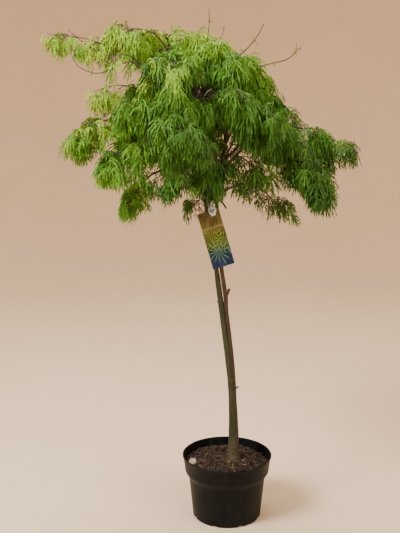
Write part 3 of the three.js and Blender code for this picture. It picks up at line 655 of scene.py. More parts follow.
def bark_material(name, dark, light, scar, foot):
    """Streaked bark with pale ring scars, paler towards the foot."""
    material, tree, shader = new_material(name, 0.35)
    patches = use_group(tree, MOTTLE, dark=dark, light=light, scale=150.0, stretch=(1.0, 1.0, 0.22))
    place = object_place(tree)
    low_down = 1.0 - ramp(split(place)[2], 0.16, 0.26)
    foot_mask = low_down * ramp(soft_noise(place, 220.0), 0.25, 0.6)
    aged = mix(foot_mask, patches["Color"], foot)
    scars = use_group(tree, RINGS, spacing=95.0, wander=0.006)["Mask"] * 0.55
    feed(shader["Base Color"], mix(scars, aged, scar))
    patchy_roughness(shader, patches["Mask"], 0.52, 0.78)
    add_bump(shader, patches["Height"], 0.6, 0.0008)
    return material


def pot_material():
    """Black moulded plastic, matt, with dust and faint pale upright streaks."""
    material, tree, shader = new_material("black_plastic", 0.11)
    plastic = use_group(
        tree, MOTTLE, dark=(0.0018, 0.0027, 0.0042), light=(0.0045, 0.0056, 0.0074), scale=28.0
    )
    marks = use_group(
        tree, MOTTLE, dark=(0, 0, 0), light=(1, 1, 1), scale=160.0, stretch=(1.0, 1.0, 0.08), balance=0.62
    )
    dust = use_group(tree, DUST, amount=0.13, scale=55.0)["Mask"]
    # Faint pale upright streaks are laid in with the dust.
    dust_and_streaks = dust.math("MAXIMUM", marks["Mask"] * 0.05)
    feed(shader["Base Color"], mix(dust_and_streaks, plastic["Color"], (0.120, 0.098, 0.076)))
    patchy_roughness(shader, plastic["Mask"], 0.42, 0.56)
    add_bump(shader, plastic["Height"], 0.25, 0.0006)
    return material


# Shades of the printed card.
CARD_OLIVE = ((0.100, 0.082, 0.024), (0.240, 0.195, 0.066))
CARD_GREEN = ((0.008, 0.022, 0.008), (0.036, 0.064, 0.012))
CARD_BLUE = ((0.004, 0.010, 0.034), (0.010, 0.030, 0.086))
CARD_BLADES = ((0.30, 0.38, 0.050), (0.09, 0.20, 0.12))
CARD_RULE = (0.42, 0.36, 0.20)
CARD_BACK = (0.62, 0.60, 0.54)
# The fans of blades on the card: their middle, across and down, their count of blades and their turn.
FANS = ((0.34, 0.50, 17.0, 0.4), (0.80, 0.58, 15.0, 1.3), (0.46, 0.72, 14.0, 2.4))


def fan(across, down, x, y, count, turn):
    """One fan on the card: rays from a point that narrow outwards and end unevenly."""
    across = across - x
    down = (down - y) * 2.43  # as the card is taller than wide
    angle = down.math("ARCTAN2", across)
    wave = angle.math("MULTIPLY_ADD", count, turn).math("SINE")
    distance = (across * across + down * down).math("SQRT")
    rays = ramp(wave - (distance * 1.1 + 0.05), 0.0, 0.25)
    ragged = distance + (angle * 4.0).math("SINE") * 0.10
    return rays * (1.0 - ramp(ragged, 0.40, 0.60))


def label_material():
    """A printed card: an olive field above, fans of yellow-green blades, and deep blue below."""
    material, tree, shader = new_material("printed_card", 0.22)
    shader["Roughness"].default_value = 0.42
    place = Wire(new_node(tree, "UVMap", uv_map="card").outputs["UV"])
    across, down, _ = split(place)
    cloud = soft_noise(place, 3.2)
    patches = ramp(cloud, 0.3, 0.7)
    olive = mix(ramp(cloud, 0.35, 0.65), *CARD_OLIVE)
    rule = 1.0 - ramp((down - 0.30).math("ABSOLUTE"), 0.010, 0.022)
    olive = mix(rule * 0.5, olive, CARD_RULE)
    level = down + (cloud - 0.5) * 0.35
    ground = mix(ramp(level, 0.62, 0.74), mix(patches, *CARD_GREEN), mix(patches, *CARD_BLUE))
    ground = mix(ramp(level, 0.36, 0.45), olive, ground)
    first, second, third = (fan(across, down, *values) for values in FANS)
    blades = first.math("MAXIMUM", second).math("MAXIMUM", third) * 0.85
    green = mix(ramp(down, 0.45, 0.8), *CARD_BLADES)
    back = ramp(across, 1.2, 1.3)
    feed(shader["Base Color"], mix(back, mix(blades, ground, green), CARD_BACK))
    return material


# Finishes in soft patches of two colours: name, darker and lighter colour, scale of the patches, range
# of the roughness, and where there is any, strength and depth of the relief and stretch of the patches.
FINISHES = {
    "soil": ("potting_soil", (0.005, 0.003, 0.002), (0.020, 0.012, 0.007), 130.0,
             (0.85, 0.98), (1.0, 0.003)),
    "chip_dark": ("bark_chip_dark", (0.006, 0.004, 0.002), (0.024, 0.014, 0.008), 260.0,
                  (0.8, 0.95), (0.8, 0.001)),
    "chip_warm": ("bark_chip_warm", (0.020, 0.010, 0.005), (0.066, 0.034, 0.017), 260.0,
                  (0.75, 0.92), (0.8, 0.001)),
    "chip_pale": ("bark_chip_pale", (0.110, 0.074, 0.042), (0.260, 0.185, 0.115), 260.0,
                  (0.7, 0.9), (0.8, 0.001)),
    "white_grain": ("white_grain", (0.42, 0.36, 0.26), (0.80, 0.74, 0.62), 300.0,
                    (0.7, 0.9), (0.6, 0.001)),
    "bough_bark": ("bough_bark", (0.020, 0.015, 0.009), (0.058, 0.040, 0.023), 190.0,
                   (0.6, 0.8), (0.5, 0.0006), (1.0, 1.0, 0.5)),
    "twig_bark": ("twig_bark", (0.020, 0.010, 0.007), (0.062, 0.028, 0.018), 240.0,
                  (0.5, 0.7), (0.3, 0.0003)),
    "dead_twig": ("dead_twig", (0.200, 0.155, 0.100), (0.420, 0.350, 0.250), 200.0,
                  (0.6, 0.8), (0.4, 0.0004)),
    "tag_print": ("dark_print", (0.030, 0.032, 0.038), (0.090, 0.092, 0.100), 400.0, (0.5, 0.7)),
    "tag": ("white_card", (0.60, 0.61, 0.62), (0.74, 0.75, 0.75), 90.0, (0.4, 0.55)),
    "floor": ("pale_floor", (0.88, 0.71, 0.51), (0.91, 0.74, 0.54), 2.0, (0.9, 0.98)),
}
MATERIALS = {key: mottled_material(*finish) for key, finish in FINISHES.items()}
MATERIALS["pot"] = pot_material()
MATERIALS["label"] = label_material()
MATERIALS["grey_bark"] = bark_material("grey_green_bark", (0.009, 0.015, 0.005), (0.032, 0.040, 0.015),
                                       (0.140, 0.132, 0.062), (0.086, 0.078, 0.044))
MATERIALS["red_bark"] = bark_material("red_brown_bark", (0.013, 0.007, 0.003), (0.055, 0.027, 0.012),
                                      (0.170, 0.095, 0.050), (0.062, 0.048, 0.028))


# ---------------------------------------------------------------- pot
def close_up(piece, merge=0.0):
    """Merges doubled points where asked, and turns every face outwards."""
    pick(piece)
    bpy.ops.object.mode_set(mode="EDIT")
    bpy.ops.mesh.select_all(action="SELECT")
    if merge:
        bpy.ops.mesh.remove_doubles(threshold=merge)
    bpy.ops.mesh.normals_make_consistent(inside=False)
    bpy.ops.object.mode_set(mode="OBJECT")


def turned(name, profile, segments):
    """A closed round form modelled ring by ring: each ring is extruded from the last."""
    clear_selection()
    radius, height = profile[0]
    bpy.ops.mesh.primitive_circle_add(
        vertices=segments, radius=radius, fill_type="NGON", location=(0, 0, height)
    )
    piece = bpy.context.object
    piece.name = name
    bpy.ops.object.transform_apply()
    bpy.ops.object.mode_set(mode="EDIT")
    bpy.ops.mesh.select_all(action="SELECT")
    for (r0, z0), (r1, z1) in zip(profile, profile[1:]):
        bpy.ops.mesh.extrude_region_move(TRANSFORM_OT_translate={"value": (0, 0, z1 - z0)})
        share = r1 / r0
        bpy.ops.transform.resize(value=(share, share, 1), center_override=(0, 0, z1))
    close_up(piece)
    return piece


def shifted(radius, height, offsets):
    return [(radius + out, height + up) for out, up in offsets]


def wall_radius(height):
    """The pot's inner radius at a height."""
    step_radius, step_height = POT["step"]
    band_radius, band_height = POT["band_foot"]
    rise = POT["inner_rise"]
    heights = (POT["floor"], step_height + rise, band_height + rise, POT["height"])
    radii = (POT["base"], step_radius, band_radius, POT["rim"] - POT["lip"])
    return float(np.interp(height, heights, radii)) - POT["wall"]


def make_pot():
    base, rise = POT["base"], POT["inner_rise"]
    outer = shifted(base, 0.0, BASE_ROUND) + shifted(*POT["step"], STEP_ROUND)
    outer += shifted(*POT["band_foot"], BAND_ROUND) + shifted(POT["rim"], POT["height"], RIM_ROUND)
    heights = (POT["inner_top"], POT["band_foot"][1] + rise, POT["step"][1] + rise, POT["floor"])
    inner = [(wall_radius(height), height) for height in heights]
    pot = turned("pot_shell", outer + inner, POT["segments"])
    clear_selection()
    cutters = []
    for i in range(POT["notches"]):
        angle = (i + 0.5) / POT["notches"] * TAU
        bpy.ops.mesh.primitive_cube_add(
            size=1, location=(base * math.cos(angle), base * math.sin(angle), 0), rotation=(0, 0, angle)
        )
        cutter = bpy.context.object
        cutter.scale = POT["notch_size"]
        cutters.append(cutter)
    cutter = join("notch_cutter", cutters)
    bpy.ops.object.transform_apply()
    apply_modifier(pot, "BOOLEAN", object=cutter, operation="DIFFERENCE", solver="EXACT")
    bpy.data.objects.remove(cutter)
    apply_modifier(pot, "BEVEL", width=POT["edge"], segments=2, limit_method="ANGLE",
                   angle_limit=math.radians(50))
    smooth(pot, 30)
    finish_piece(pot, "nursery_pot", MATERIALS["pot"], "pot", "pot")


# ---------------------------------------------------------------- soil
def soil_height(x, y):
    """The uneven surface of the mound."""
    share = math.hypot(x, y) / wall_radius(SOIL["edge"])
    base = SOIL["crown"] + (SOIL["edge"] - SOIL["crown"]) * share
    lumps = noise.noise(Vector((x, y, 0.3)) * 45) + 0.5 * noise.noise(Vector((x, y, 1.7)) * 120)
    return base + SOIL["relief"] * lumps


def make_soil():
    rise = POT["inner_rise"]
    heights = (POT["floor"] + 0.0004, POT["step"][1] + rise, POT["band_foot"][1] + rise,
               SOIL["edge"] - 0.004)
    profile = [(wall_radius(z) - SOIL["gap"], z) for z in heights]
    top_radius = profile[-1][0]
    for i in range(1, SOIL["rings"]):
        profile.append((top_radius * (1 - i / SOIL["rings"]), SOIL["edge"] + 0.0002 * i))
    mound = turned("mound", profile, SOIL["segments"])
    for vertex in mound.data.vertices:
        x, y, z = vertex.co
        if z > SOIL["edge"]:
            vertex.co.z = soil_height(x, y)
    smooth(mound)
    finish_piece(mound, "soil_mound", MATERIALS["soil"], "soil", "soil")


def soil_spots(draw, count, reach, stem_gap):
    """Chance places on the mound that keep off the stem."""
    for _ in range(count):
        radius = reach * math.sqrt(draw.random())
        angle = TAU * draw.random()
        x, y = radius * math.cos(angle), radius * math.sin(angle)
        if math.hypot(x - FOOT[0], y - FOOT[1]) >= stem_gap:
            yield x, y


BOX_CORNERS = np.array([(x, y, z) for x in (-1, 1) for y in (-1, 1) for z in (-1, 1)], float)
BOX_FACES = np.array([
    (0, 1, 3), (0, 3, 2), (4, 6, 7), (4, 7, 5), (0, 4, 5), (0, 5, 1),
    (2, 3, 7), (2, 7, 6), (0, 2, 6), (0, 6, 4), (1, 5, 7), (1, 7, 3),
])


def scatter_chips(name, finish, count, longest, seed):
    """Chips of bark lying on the mound: split, uneven blocks in every direction."""
    draw = np.random.default_rng(seed)
    reach = wall_radius(SOIL["edge"]) - CHIP["edge_gap"]
    vertices = []
    for x, y in soil_spots(draw, count, reach, CHIP["stem_gap"]):
        length = longest * draw.uniform(*CHIP["long"])
        half = np.array((length, length * draw.uniform(*CHIP["wide"]), draw.uniform(*CHIP["thick"]))) / 2
        corners = BOX_CORNERS * half * draw.uniform(*CHIP["split"], (8, 3))
        turn = Matrix.Rotation(TAU * draw.random(), 3, "Z")
        turn = turn @ Matrix.Rotation(draw.normal(0, CHIP["tilt"]), 3, "Y")
        turn = turn @ Matrix.Rotation(draw.normal(0, CHIP["roll"]), 3, "X")
        corners = corners @ np.array(turn).T + (x, y, soil_height(x, y) + draw.uniform(*CHIP["lift"]))
        far = np.hypot(corners[:, 0], corners[:, 1])
        corners[:, :2] *= np.minimum(1, (reach + 0.002) / np.maximum(far, 1e-6))[:, None]
        vertices.append(corners)
    faces = np.concatenate([BOX_FACES + 8 * i for i in range(len(vertices))])
    piece = mesh_piece(name, np.concatenate(vertices), faces)
    finish_piece(piece, name, MATERIALS[finish], "soil", "soil")


# ---------------------------------------------------------------- joined round shoots
class Shoots:
    """Many thin round limbs, gathered as arrays and made one mesh at the end."""

    def __init__(self):
        self.vertices = []
        self.faces = []
        self.total = 0

    def add(self, points, radii, sides=5):
        points = np.asarray(points, float)
        radii = np.asarray(radii, float)
        headings = unit(np.gradient(points, axis=0))
        guide = np.array((0.0, 0.0, 1.0)) if abs(headings[0, 2]) < 0.8 else np.array((1.0, 0.0, 0.0))
        across = unit(np.cross(headings, guide))
        steep = np.cross(across, headings)
        angles = np.arange(sides) / sides * TAU
        rings = (
            points[:, None]
            + across[:, None] * (np.cos(angles)[None, :, None] * radii[:, None, None])
            + steep[:, None] * (np.sin(angles)[None, :, None] * radii[:, None, None])
        )
        count = len(points)
        ends = np.stack([points[0], points[-1] + headings[-1] * radii[-1]])
        i = np.arange(sides)
        j = (i + 1) % sides
        faces = []
        for ring in range(count - 1):
            a, b = ring * sides, (ring + 1) * sides
            faces.append(np.stack([a + i, b + i, b + j], 1))
            faces.append(np.stack([a + i, b + j, a + j], 1))
        foot = count * sides
        last = (count - 1) * sides
        faces.append(np.stack([np.full(sides, foot), i, j], 1))
        faces.append(np.stack([np.full(sides, foot + 1), last + j, last + i], 1))
        self.vertices.append(np.concatenate([rings.reshape(-1, 3), ends]))
        self.faces.append(np.concatenate(faces) + self.total)
        self.total += count * sides + 2

    def make(self, name, material, slot, *nodes):
        piece = mesh_piece(name, np.concatenate(self.vertices), np.concatenate(self.faces))
        smooth(piece)
        finish_piece(piece, name, material, slot, *nodes)


def through(points, count):
    """A smooth line of count points through the given ones."""
    points = np.asarray(points, float)
    padded = np.concatenate([[2 * points[0] - points[1]], points, [2 * points[-1] - points[-2]]])
    spans = len(points) - 1
    line = []
    for share in np.linspace(0, spans, count):
        i = min(int(share), spans - 1)
        t = share - i
        a, b, c, d = padded[i:i + 4]
        line.append(0.5 * (2 * b + (c - a) * t + (2 * a - 5 * b + 4 * c - d) * t ** 2
                           + (3 * b - a - 3 * c + d) * t ** 3))
    return np.array(line)


def make_fibres():
    """Pale root fibres and straw among the chips."""
    draw = np.random.default_rng(31)
    fibres = Shoots()
    reach = wall_radius(SOIL["edge"]) - FIBRE["edge_gap"]
    points = FIBRE["points"]
    for x, y in soil_spots(draw, FIBRE["count"], reach, FIBRE["stem_gap"]):
        heading = TAU * draw.random()
        length = draw.uniform(*FIBRE["long"])
        bend = draw.normal(0, FIBRE["bend"])
        line = []
        for s in np.linspace(-0.5, 0.5, points):
            px = x + length * (s * math.cos(heading) - bend * s * s * math.sin(heading))
            py = y + length * (s * math.sin(heading) + bend * s * s * math.cos(heading))
            far = max(1.0, math.hypot(px, py) / (reach + 0.006))
            px, py = px / far, py / far
            line.append((px, py, soil_height(px, py) + FIBRE["lift"] + FIBRE["wave"] * draw.random()))
        fibres.add(line, np.linspace(*FIBRE["radii"], points), 4)
    fibres.make("root_fibres", MATERIALS["chip_pale"], "soil", "soil")


def make_white_grain():
    """One lump of white drainage grit near the left edge, knobbly all round."""
    clear_selection()
    bpy.ops.mesh.primitive_ico_sphere_add(subdivisions=4, radius=1, location=(0, 0, 0))
    lump = bpy.context.object
    for vertex in lump.data.vertices:
        out = vertex.co.normalized()
        knobs = sum(size * noise.noise(out * scale) for size, scale in GRAIN["knobs"])
        radius = GRAIN["radius"] * (1 + knobs)
        vertex.co = Vector(GRAIN["centre"]) + Vector((out.x, out.y, out.z * GRAIN["flat"])) * radius
    smooth(lump)
    finish_piece(lump, "white_grain", MATERIALS["white_grain"], "soil", "soil")


# ---------------------------------------------------------------- stems
def modelled_limb(name, rows, step, sides, relief):
    """A stem drawn as a curve with a radius at each point, made a mesh and given its bark's relief."""
    rows = np.array(rows)
    length = np.linalg.norm(np.diff(rows[:, :3], axis=0), axis=1).sum()
    rows = through(rows, int(length / step))
    clear_selection()
    bpy.ops.curve.primitive_nurbs_path_add()
    piece = bpy.context.object
    piece.name = name
    curve = piece.data
    curve.splines.clear()
    spline = curve.splines.new("POLY")
    spline.points.add(len(rows) - 1)
    for point, (x, y, z, radius) in zip(spline.points, rows):
        point.co = (x, y, z, 1)
        point.radius = radius
    curve.dimensions = "3D"
    curve.bevel_depth = 1
    curve.bevel_resolution = sides // 2 - 2
    curve.use_fill_caps = True
    bpy.ops.object.convert(target="MESH")
    close_up(piece, 1e-6)
    add_relief(piece, relief)
    return piece


def add_relief(piece, depth):
    """Long shallow ridges, knots and a fine grain, pressed along the normals."""
    moved = []
    for vertex in piece.data.vertices:
        x, y, z = vertex.co
        ridges = noise.noise(Vector((x * 240, y * 240, z * 26)))
        grain = noise.noise(Vector((x * 700, y * 700, z * 260)))
        swell = noise.noise(Vector((4.2, 1.3, z * 34)))
        moved.append(vertex.co + vertex.normal * depth * (0.6 * ridges + 0.3 * grain + 0.7 * swell))
    for vertex, place in zip(piece.data.vertices, moved):
        vertex.co = place


def ring_scars(piece, heights, width, depth):
    """Raised rings round a stem, such as the graft and old bud scars."""
    for vertex in piece.data.vertices:
        for height in heights:
            swell = math.exp(-(((vertex.co.z - height) / width) ** 2))
            if swell > 0.01:
                out = Vector((vertex.normal.x, vertex.normal.y, 0))
                vertex.co += out * depth * swell


def flare_foot(piece):
    """Root buttresses that spread where the stem meets the soil."""
    least, more = BUTTRESS["spread"]
    for vertex in piece.data.vertices:
        rise = 1 - (vertex.co.z - BUTTRESS["low"]) / BUTTRESS["tall"]
        if rise > 0:
            out = vertex.co.xy - Vector(BUTTRESS["centre"])
            angle = math.atan2(out.y, out.x) * BUTTRESS["count"] + BUTTRESS["turn"]
            vertex.co.xy += out.normalized() * rise ** 2 * (least + more * math.cos(angle))


def make_stems():
    main = modelled_limb("main_stem", MAIN_STEM + LEFT_LEADER, *MAIN_FORM)
    side = modelled_limb("side_stem", SIDE_STEM + RIGHT_LEADER, *SIDE_FORM)
    ring_scars(main, *MAIN_SCARS)
    ring_scars(side, *SIDE_SCARS)
    flare_foot(main)
    flare_foot(side)
    stubs = {"main": [main], "side": [side]}
    for stem, foot, tip, radius in STUBS:
        line = np.linspace(foot, tip, 8)
        rows = [(*point, radius * width) for point, width in zip(line, np.linspace(1.1, 0.75, 8))]
        stubs[stem].append(modelled_limb("stub", rows, *STUB_FORM))
    main = join("main_stem", stubs["main"])
    side = join("side_stem", stubs["side"])
    smooth(main)
    smooth(side)
    finish_piece(main, "grey_green_stem", MATERIALS["grey_bark"], "bark", "trunk", "left_leader")
    finish_piece(side, "red_brown_stem", MATERIALS["red_bark"], "young_bark", "trunk", "right_leader")


# ---------------------------------------------------------------- masses: boughs, stems and spaces
def bezier(a, b, c, count):
    t = np.linspace(0, 1, count)[:, None]
    return (1 - t) ** 2 * a + 2 * t * (1 - t) * b + t ** 2 * c


def on_limb(rows, height):
    """Centre and radius of an upright limb at a height."""
    rows = np.array(rows)
    return np.array([np.interp(height, rows[:, 2], rows[:, k]) for k in range(4)])


def make_waves(count, shortest, longest, seed):
    """Waves that run through space in chance directions: their headings and where they start."""
    draw = np.random.default_rng(seed)
    headings = unit(draw.normal(size=(count, 3))) * TAU / draw.uniform(shortest, longest, (count, 1))
    return headings, draw.uniform(0, TAU, count)


WAVE_HEADINGS, WAVE_STARTS = make_waves(9, 0.055, 0.14, 11)
BOX_SLACK = 0.004
BOX_LOW = np.array(cad_box[0]) - BOX_SLACK
BOX_HIGH = np.array(cad_box[1]) + BOX_SLACK


def lumps(points, shift):
    """A smooth unevenness of space, mostly between -1 and 1."""
    waves = np.sin(points @ WAVE_HEADINGS.T + WAVE_STARTS * (1 + shift))
    return np.clip(waves.sum(-1) / 2.2, -1.3, 1.3)


class Mass:
    """One foliage mass: its bough, its stem, and the space that it keeps to."""

    def __init__(self, name, leader, height, control, start, end, radius, seed, fullness):
        self.name = name
        self.radius = radius
        self.fullness = fullness
        self.draw = np.random.default_rng(seed)
        self.start = np.array(start)
        self.end = np.array(end)
        self.length = np.linalg.norm(self.end - self.start)
        self.walls = []
        rows = LEFT_LEADER if leader == "left" else RIGHT_LEADER
        self.root = on_limb(rows, height)[:3]
        self.tip = self.start + UP * STEM_ABOVE * radius
        to = self.end + UP * STEM_ABOVE * radius * 0.6
        self.bough = None
        foot = self.root
        heading = unit(self.tip - self.root)
        if control:
            self.bough = bezier(self.root, np.array(control), self.tip, BOUGH_POINTS)
            foot = self.tip
            heading = unit(self.tip - np.array(control))
        bend = foot + heading * np.linalg.norm(to - foot) * STEM_BEND
        self.stem = bezier(foot, bend, to, STEM_POINTS)
        thickest = BOUGH_FOOT + radius * BOUGH_GAIN
        narrowing = 1 - np.sqrt(np.linspace(0, 1, BOUGH_POINTS))
        self.bough_radii = BOUGH_TIP + (thickest - BOUGH_TIP) * narrowing

    def inside(self, points, slack=0.0):
        """Which points lie in the mass's space: a fat, uneven line that is taller than wide and
        runs out to a point, cut by its walls."""
        along = (self.end - self.start) / self.length
        run = (points - self.start) @ along
        off = points - self.start - run[..., None] * along
        off[..., 2] /= np.where(off[..., 2] > 0, ABOVE, BELOW)
        off = np.linalg.norm(off, axis=-1)
        taper = np.clip((run - 0.5 * self.length) / (0.5 * self.length + self.radius), 0, 1)
        behind = np.clip(-run / (BEHIND * self.radius), 0, 1)
        width = self.radius * (1 - taper ** 2.2) ** 0.8 * np.sqrt(1 - behind ** 2)
        near = off < width * (1 + UNEVEN * lumps(points, 0.0)) + slack
        for normal, limit in self.walls:
            near &= points @ normal < limit + WALL_BLEND
        return near & (points > BOX_LOW).all(-1) & (points < BOX_HIGH).all(-1)


def nearest(a0, a1, b0, b1):
    """Nearest points of two straight stretches."""
    u, v, w = a1 - a0, b1 - b0, a0 - b0
    a, b, c, d, e = u @ u, u @ v, v @ v, u @ w, v @ w
    det = a * c - b * b
    s = np.clip((b * e - c * d) / det, 0, 1) if det > 1e-15 else 0.0
    t = np.clip((b * s + e) / c, 0, 1)
    s = np.clip((b * t - d) / a, 0, 1)
    return a0 + u * s, b0 + v * t


def set_walls(masses):
    """The planes that keep one mass's space apart from its neighbours'."""
    for mass in masses:
        for other in masses:
            if other is mass:
                continue
            p, q = nearest(mass.start, mass.end, other.start, other.end)
            distance = np.linalg.norm(q - p)
            if distance > (mass.radius + other.radius) * SPACE_TALL:
                continue
            square = distance ** 2 + mass.radius ** 2 - other.radius ** 2
            reach = np.clip(square / (2 * distance), WALL_SHARE * distance, (1 - WALL_SHARE) * distance)
            normal = (q - p) / distance
            mass.walls.append((normal, normal @ p + reach))


MASS_LIST = [Mass(name, *values) for name, values in MASSES.items()]
set_walls(MASS_LIST)


def limb_stretches():
    """Every leader and bough as straight stretches with a radius, for clearances."""
    stretches = []
    for rows in (MAIN_STEM[-1:] + LEFT_LEADER, SIDE_STEM[-1:] + RIGHT_LEADER):
        for first, second in zip(rows, rows[1:]):
            stretches.append((*first[:3], *second[:3], max(first[3], second[3])))
    for mass in MASS_LIST:
        if mass.bough is not None:
            for i in range(0, BOUGH_POINTS - 3, 3):
                stretches.append((*mass.bough[i], *mass.bough[i + 3], mass.bough_radii[i]))
    return np.array(stretches)


STRETCHES = limb_stretches()


def clear_of_limbs(points, stretches):
    """Which points keep clear of the limbs. The points are rows of any shape."""
    if len(stretches) == 0:
        return np.ones(points.shape[:-1], bool)
    a, b, radius = stretches[:, :3], stretches[:, 3:6], stretches[:, 6]
    along = b - a
    offset = points[..., None, :] - a
    t = np.clip((offset * along).sum(-1) / (along * along).sum(-1), 0, 1)
    distance = np.linalg.norm(offset - t[..., None] * along, axis=-1)
    return (distance > radius + LEAF["clear"]).all(-1)


def label_axes():
    across = Vector(LABEL["across"]).normalized()
    down = Vector(LABEL["down"])
    down = (down - across * down.dot(across)).normalized()
    face = across.cross(down).normalized()
    return across, down, face if face.y < 0 else -face


def clear_of_hollow(points):
    """Which points stay out of the hollow in front, where bare branches show."""
    across = (points[..., 0] - HOLLOW["centre"][0]) / HOLLOW["half_width"]
    up = (points[..., 2] - HOLLOW["centre"][2]) / HOLLOW["half_height"]
    return (across ** 2 + up ** 2 > 1) | (points[..., 1] > HOLLOW["centre"][1])


def clear_of_label(points):
    """Which points stay off the hanging card and out of the view on its printed side."""
    across, down, face = (np.array(axis) for axis in label_axes())
    offset = points - np.array(LABEL["corner"])
    u, v, w = offset @ across, offset @ down, offset @ face
    width, _, height = LABEL["size"]
    beside, above, behind, ahead = LABEL["clear"]
    over = (u > -beside) & (u < width + beside) & (v > -above) & (v < height)
    return ~(over & (w > -behind) & (w < ahead))


# ---------------------------------------------------------------- twigs and leaves
class Shoot:
    """One twig: its line, its radius at the foot, and how deep in the branching it stands."""

    def __init__(self, points, radius, order, tone):
        self.points = points
        self.radius = radius
        self.order = order
        self.tone = tone
        steps = np.linalg.norm(np.diff(points, axis=0), axis=1)
        self.shares = np.concatenate([[0], np.cumsum(steps)]) / steps.sum()
        self.length = steps.sum()

    def at(self, share):
        return np.array([np.interp(share, self.shares, self.points[:, k]) for k in range(3)])

    def heading(self, share):
        return unit(self.at(min(share + 0.05, 1)) - self.at(max(share - 0.05, 0)))

    def side(self, share, turn):
        heading = self.heading(share)
        level = np.cross(heading, UP)
        level = unit(level) if np.linalg.norm(level) > 0.02 else np.array((1.0, 0.0, 0.0))
        steep = np.cross(level, heading)
        return heading, level * math.cos(turn) + steep * math.sin(turn)


GAP_DRAW = np.random.default_rng(5)


def missing_share(points):
    """The share of the twigs and leaves that are missing at each point."""
    missing = np.zeros(len(points))
    for x, z, half_width, half_height, share in GAPS:
        far = ((points[:, 0] - x) / half_width) ** 2 + ((points[:, 2] - z) / half_height) ** 2
        missing = np.maximum(missing, share * np.exp(-far ** 2))
    return missing


def grown(shares, fullness):
    least, gain = shares
    return least + gain * fullness


def first_fit(mass, parent, share, bend, tip, lengths, radius, tone):
    """A twig with the first of the lengths that its mass has room for, if it isn't in a gap."""
    start = parent.at(share)
    for length in lengths:
        line = bezier(start, start + bend * length, start + tip * length, TWIG["points"])
        if mass.inside(line[2:], -TWIG["skin"]).all():
            missing = GAP_DRAW.random() < GAP_TWIGS * missing_share(line[-2:]).max()
            return None if missing else Shoot(line, radius, parent.order + 1, tone)
    return None


def side_shoot(mass, parent, share, turn, length, radius, tone):
    """A twig that leaves its parent sideways and sags over its length, if there is room for it."""
    draw = mass.draw
    heading, side = parent.side(share, turn)
    ahead = grown(TWIG["ahead"], draw.random())
    out = unit(heading * ahead + side * TWIG["aside"] + UP * draw.uniform(*TWIG["rise"]))
    ahead, up = TWIG["bend"]
    bend = out * ahead + UP * up
    tip = out * TWIG["reach"] - UP * draw.uniform(*TWIG["sag"])
    lengths = length * np.array(TWIG["shrinks"])
    return first_fit(mass, parent, share, bend, tip, lengths, radius, tone)


def hanging_shoot(mass, parent, share):
    """A twig that leaves its parent forwards and weeps down through the mass, if there is room."""
    draw = mass.draw
    ahead = unit(parent.heading(share) * LEVEL + draw.normal(0, TWIG["hang_wander"], 3) * LEVEL)
    length = mass.radius * draw.uniform(*TWIG["hang_length"])
    lean = draw.uniform(*TWIG["hang_lean"])
    least, by_lean, up = TWIG["hang_bend"]
    bend = ahead * (least + by_lean * lean) + UP * up
    tip = ahead * lean - UP * TWIG["hang_fall"]
    lengths = length * np.array(TWIG["hang_shrinks"])
    tone = parent.tone + TWIG["hang_tone"]
    radius = TWIG["side_radius"] * TWIG["hang_radius"]
    return first_fit(mass, parent, share, bend, tip, lengths, radius, tone)


def pairs_along(draw, count, first, stretch, wander, spread):
    """Opposite pairs along a shoot, each turned on from the last: the share of its length and turn."""
    for i in range(count):
        for half in (0, 1):
            share = first + stretch * (i + wander * draw.random()) / count
            yield share, (i % 2) * TWIG["pair_turn"] + half * math.pi + draw.normal(0, spread)


def grow_twigs(mass):
    """Side twigs in pairs, a quarter turn on from pair to pair, and finer twigs along them."""
    draw = mass.draw
    stem = Shoot(mass.stem, TWIG["stem_radius"], 0, None)
    shoots = [stem]
    carriers = [(stem, TWIG["first"], 0.0)]
    if mass.bough is not None:
        bough = Shoot(mass.bough, TWIG["stem_radius"], 0, None)
        carriers.append((bough, BOUGH_BARE, BOUGH_SHADE))
    for carrier, first, shade in carriers:
        stretch = carrier.length * (1 - first)
        pairs = max(2, int(stretch / TWIG["side_step"] / 2 * grown(TWIG["side_full"], mass.fullness)))
        for share, turn in pairs_along(draw, pairs, first, TWIG["last"] - first, *TWIG["side_wander"]):
            most, loss = TWIG["side_length"]
            length = mass.radius * (most - loss * share) * draw.uniform(*TWIG["side_range"])
            # Twigs on a bough carry its painted shade to their leaves.
            tone = draw.normal(0, TWIG["tone"]) + shade
            shoots.append(side_shoot(mass, carrier, share, turn, length, TWIG["side_radius"], tone))
    for parent in [shoot for shoot in shoots if shoot and shoot.order == 1]:
        if draw.random() < TWIG["weeping"] * mass.fullness:
            shoots.append(hanging_shoot(mass, parent, draw.uniform(*TWIG["hang_part"])))
        count = int(parent.length / TWIG["fine_step"])
        for share, turn in pairs_along(draw, count, *TWIG["fine_part"], *TWIG["fine_wander"]):
            length = TWIG["fine_length"] * draw.uniform(*TWIG["fine_range"])
            if draw.random() <= grown(TWIG["fine_full"], mass.fullness):
                shoots.append(
                    side_shoot(mass, parent, share, turn, length, TWIG["fine_radius"], parent.tone)
                )
    return [shoot for shoot in shoots if shoot]


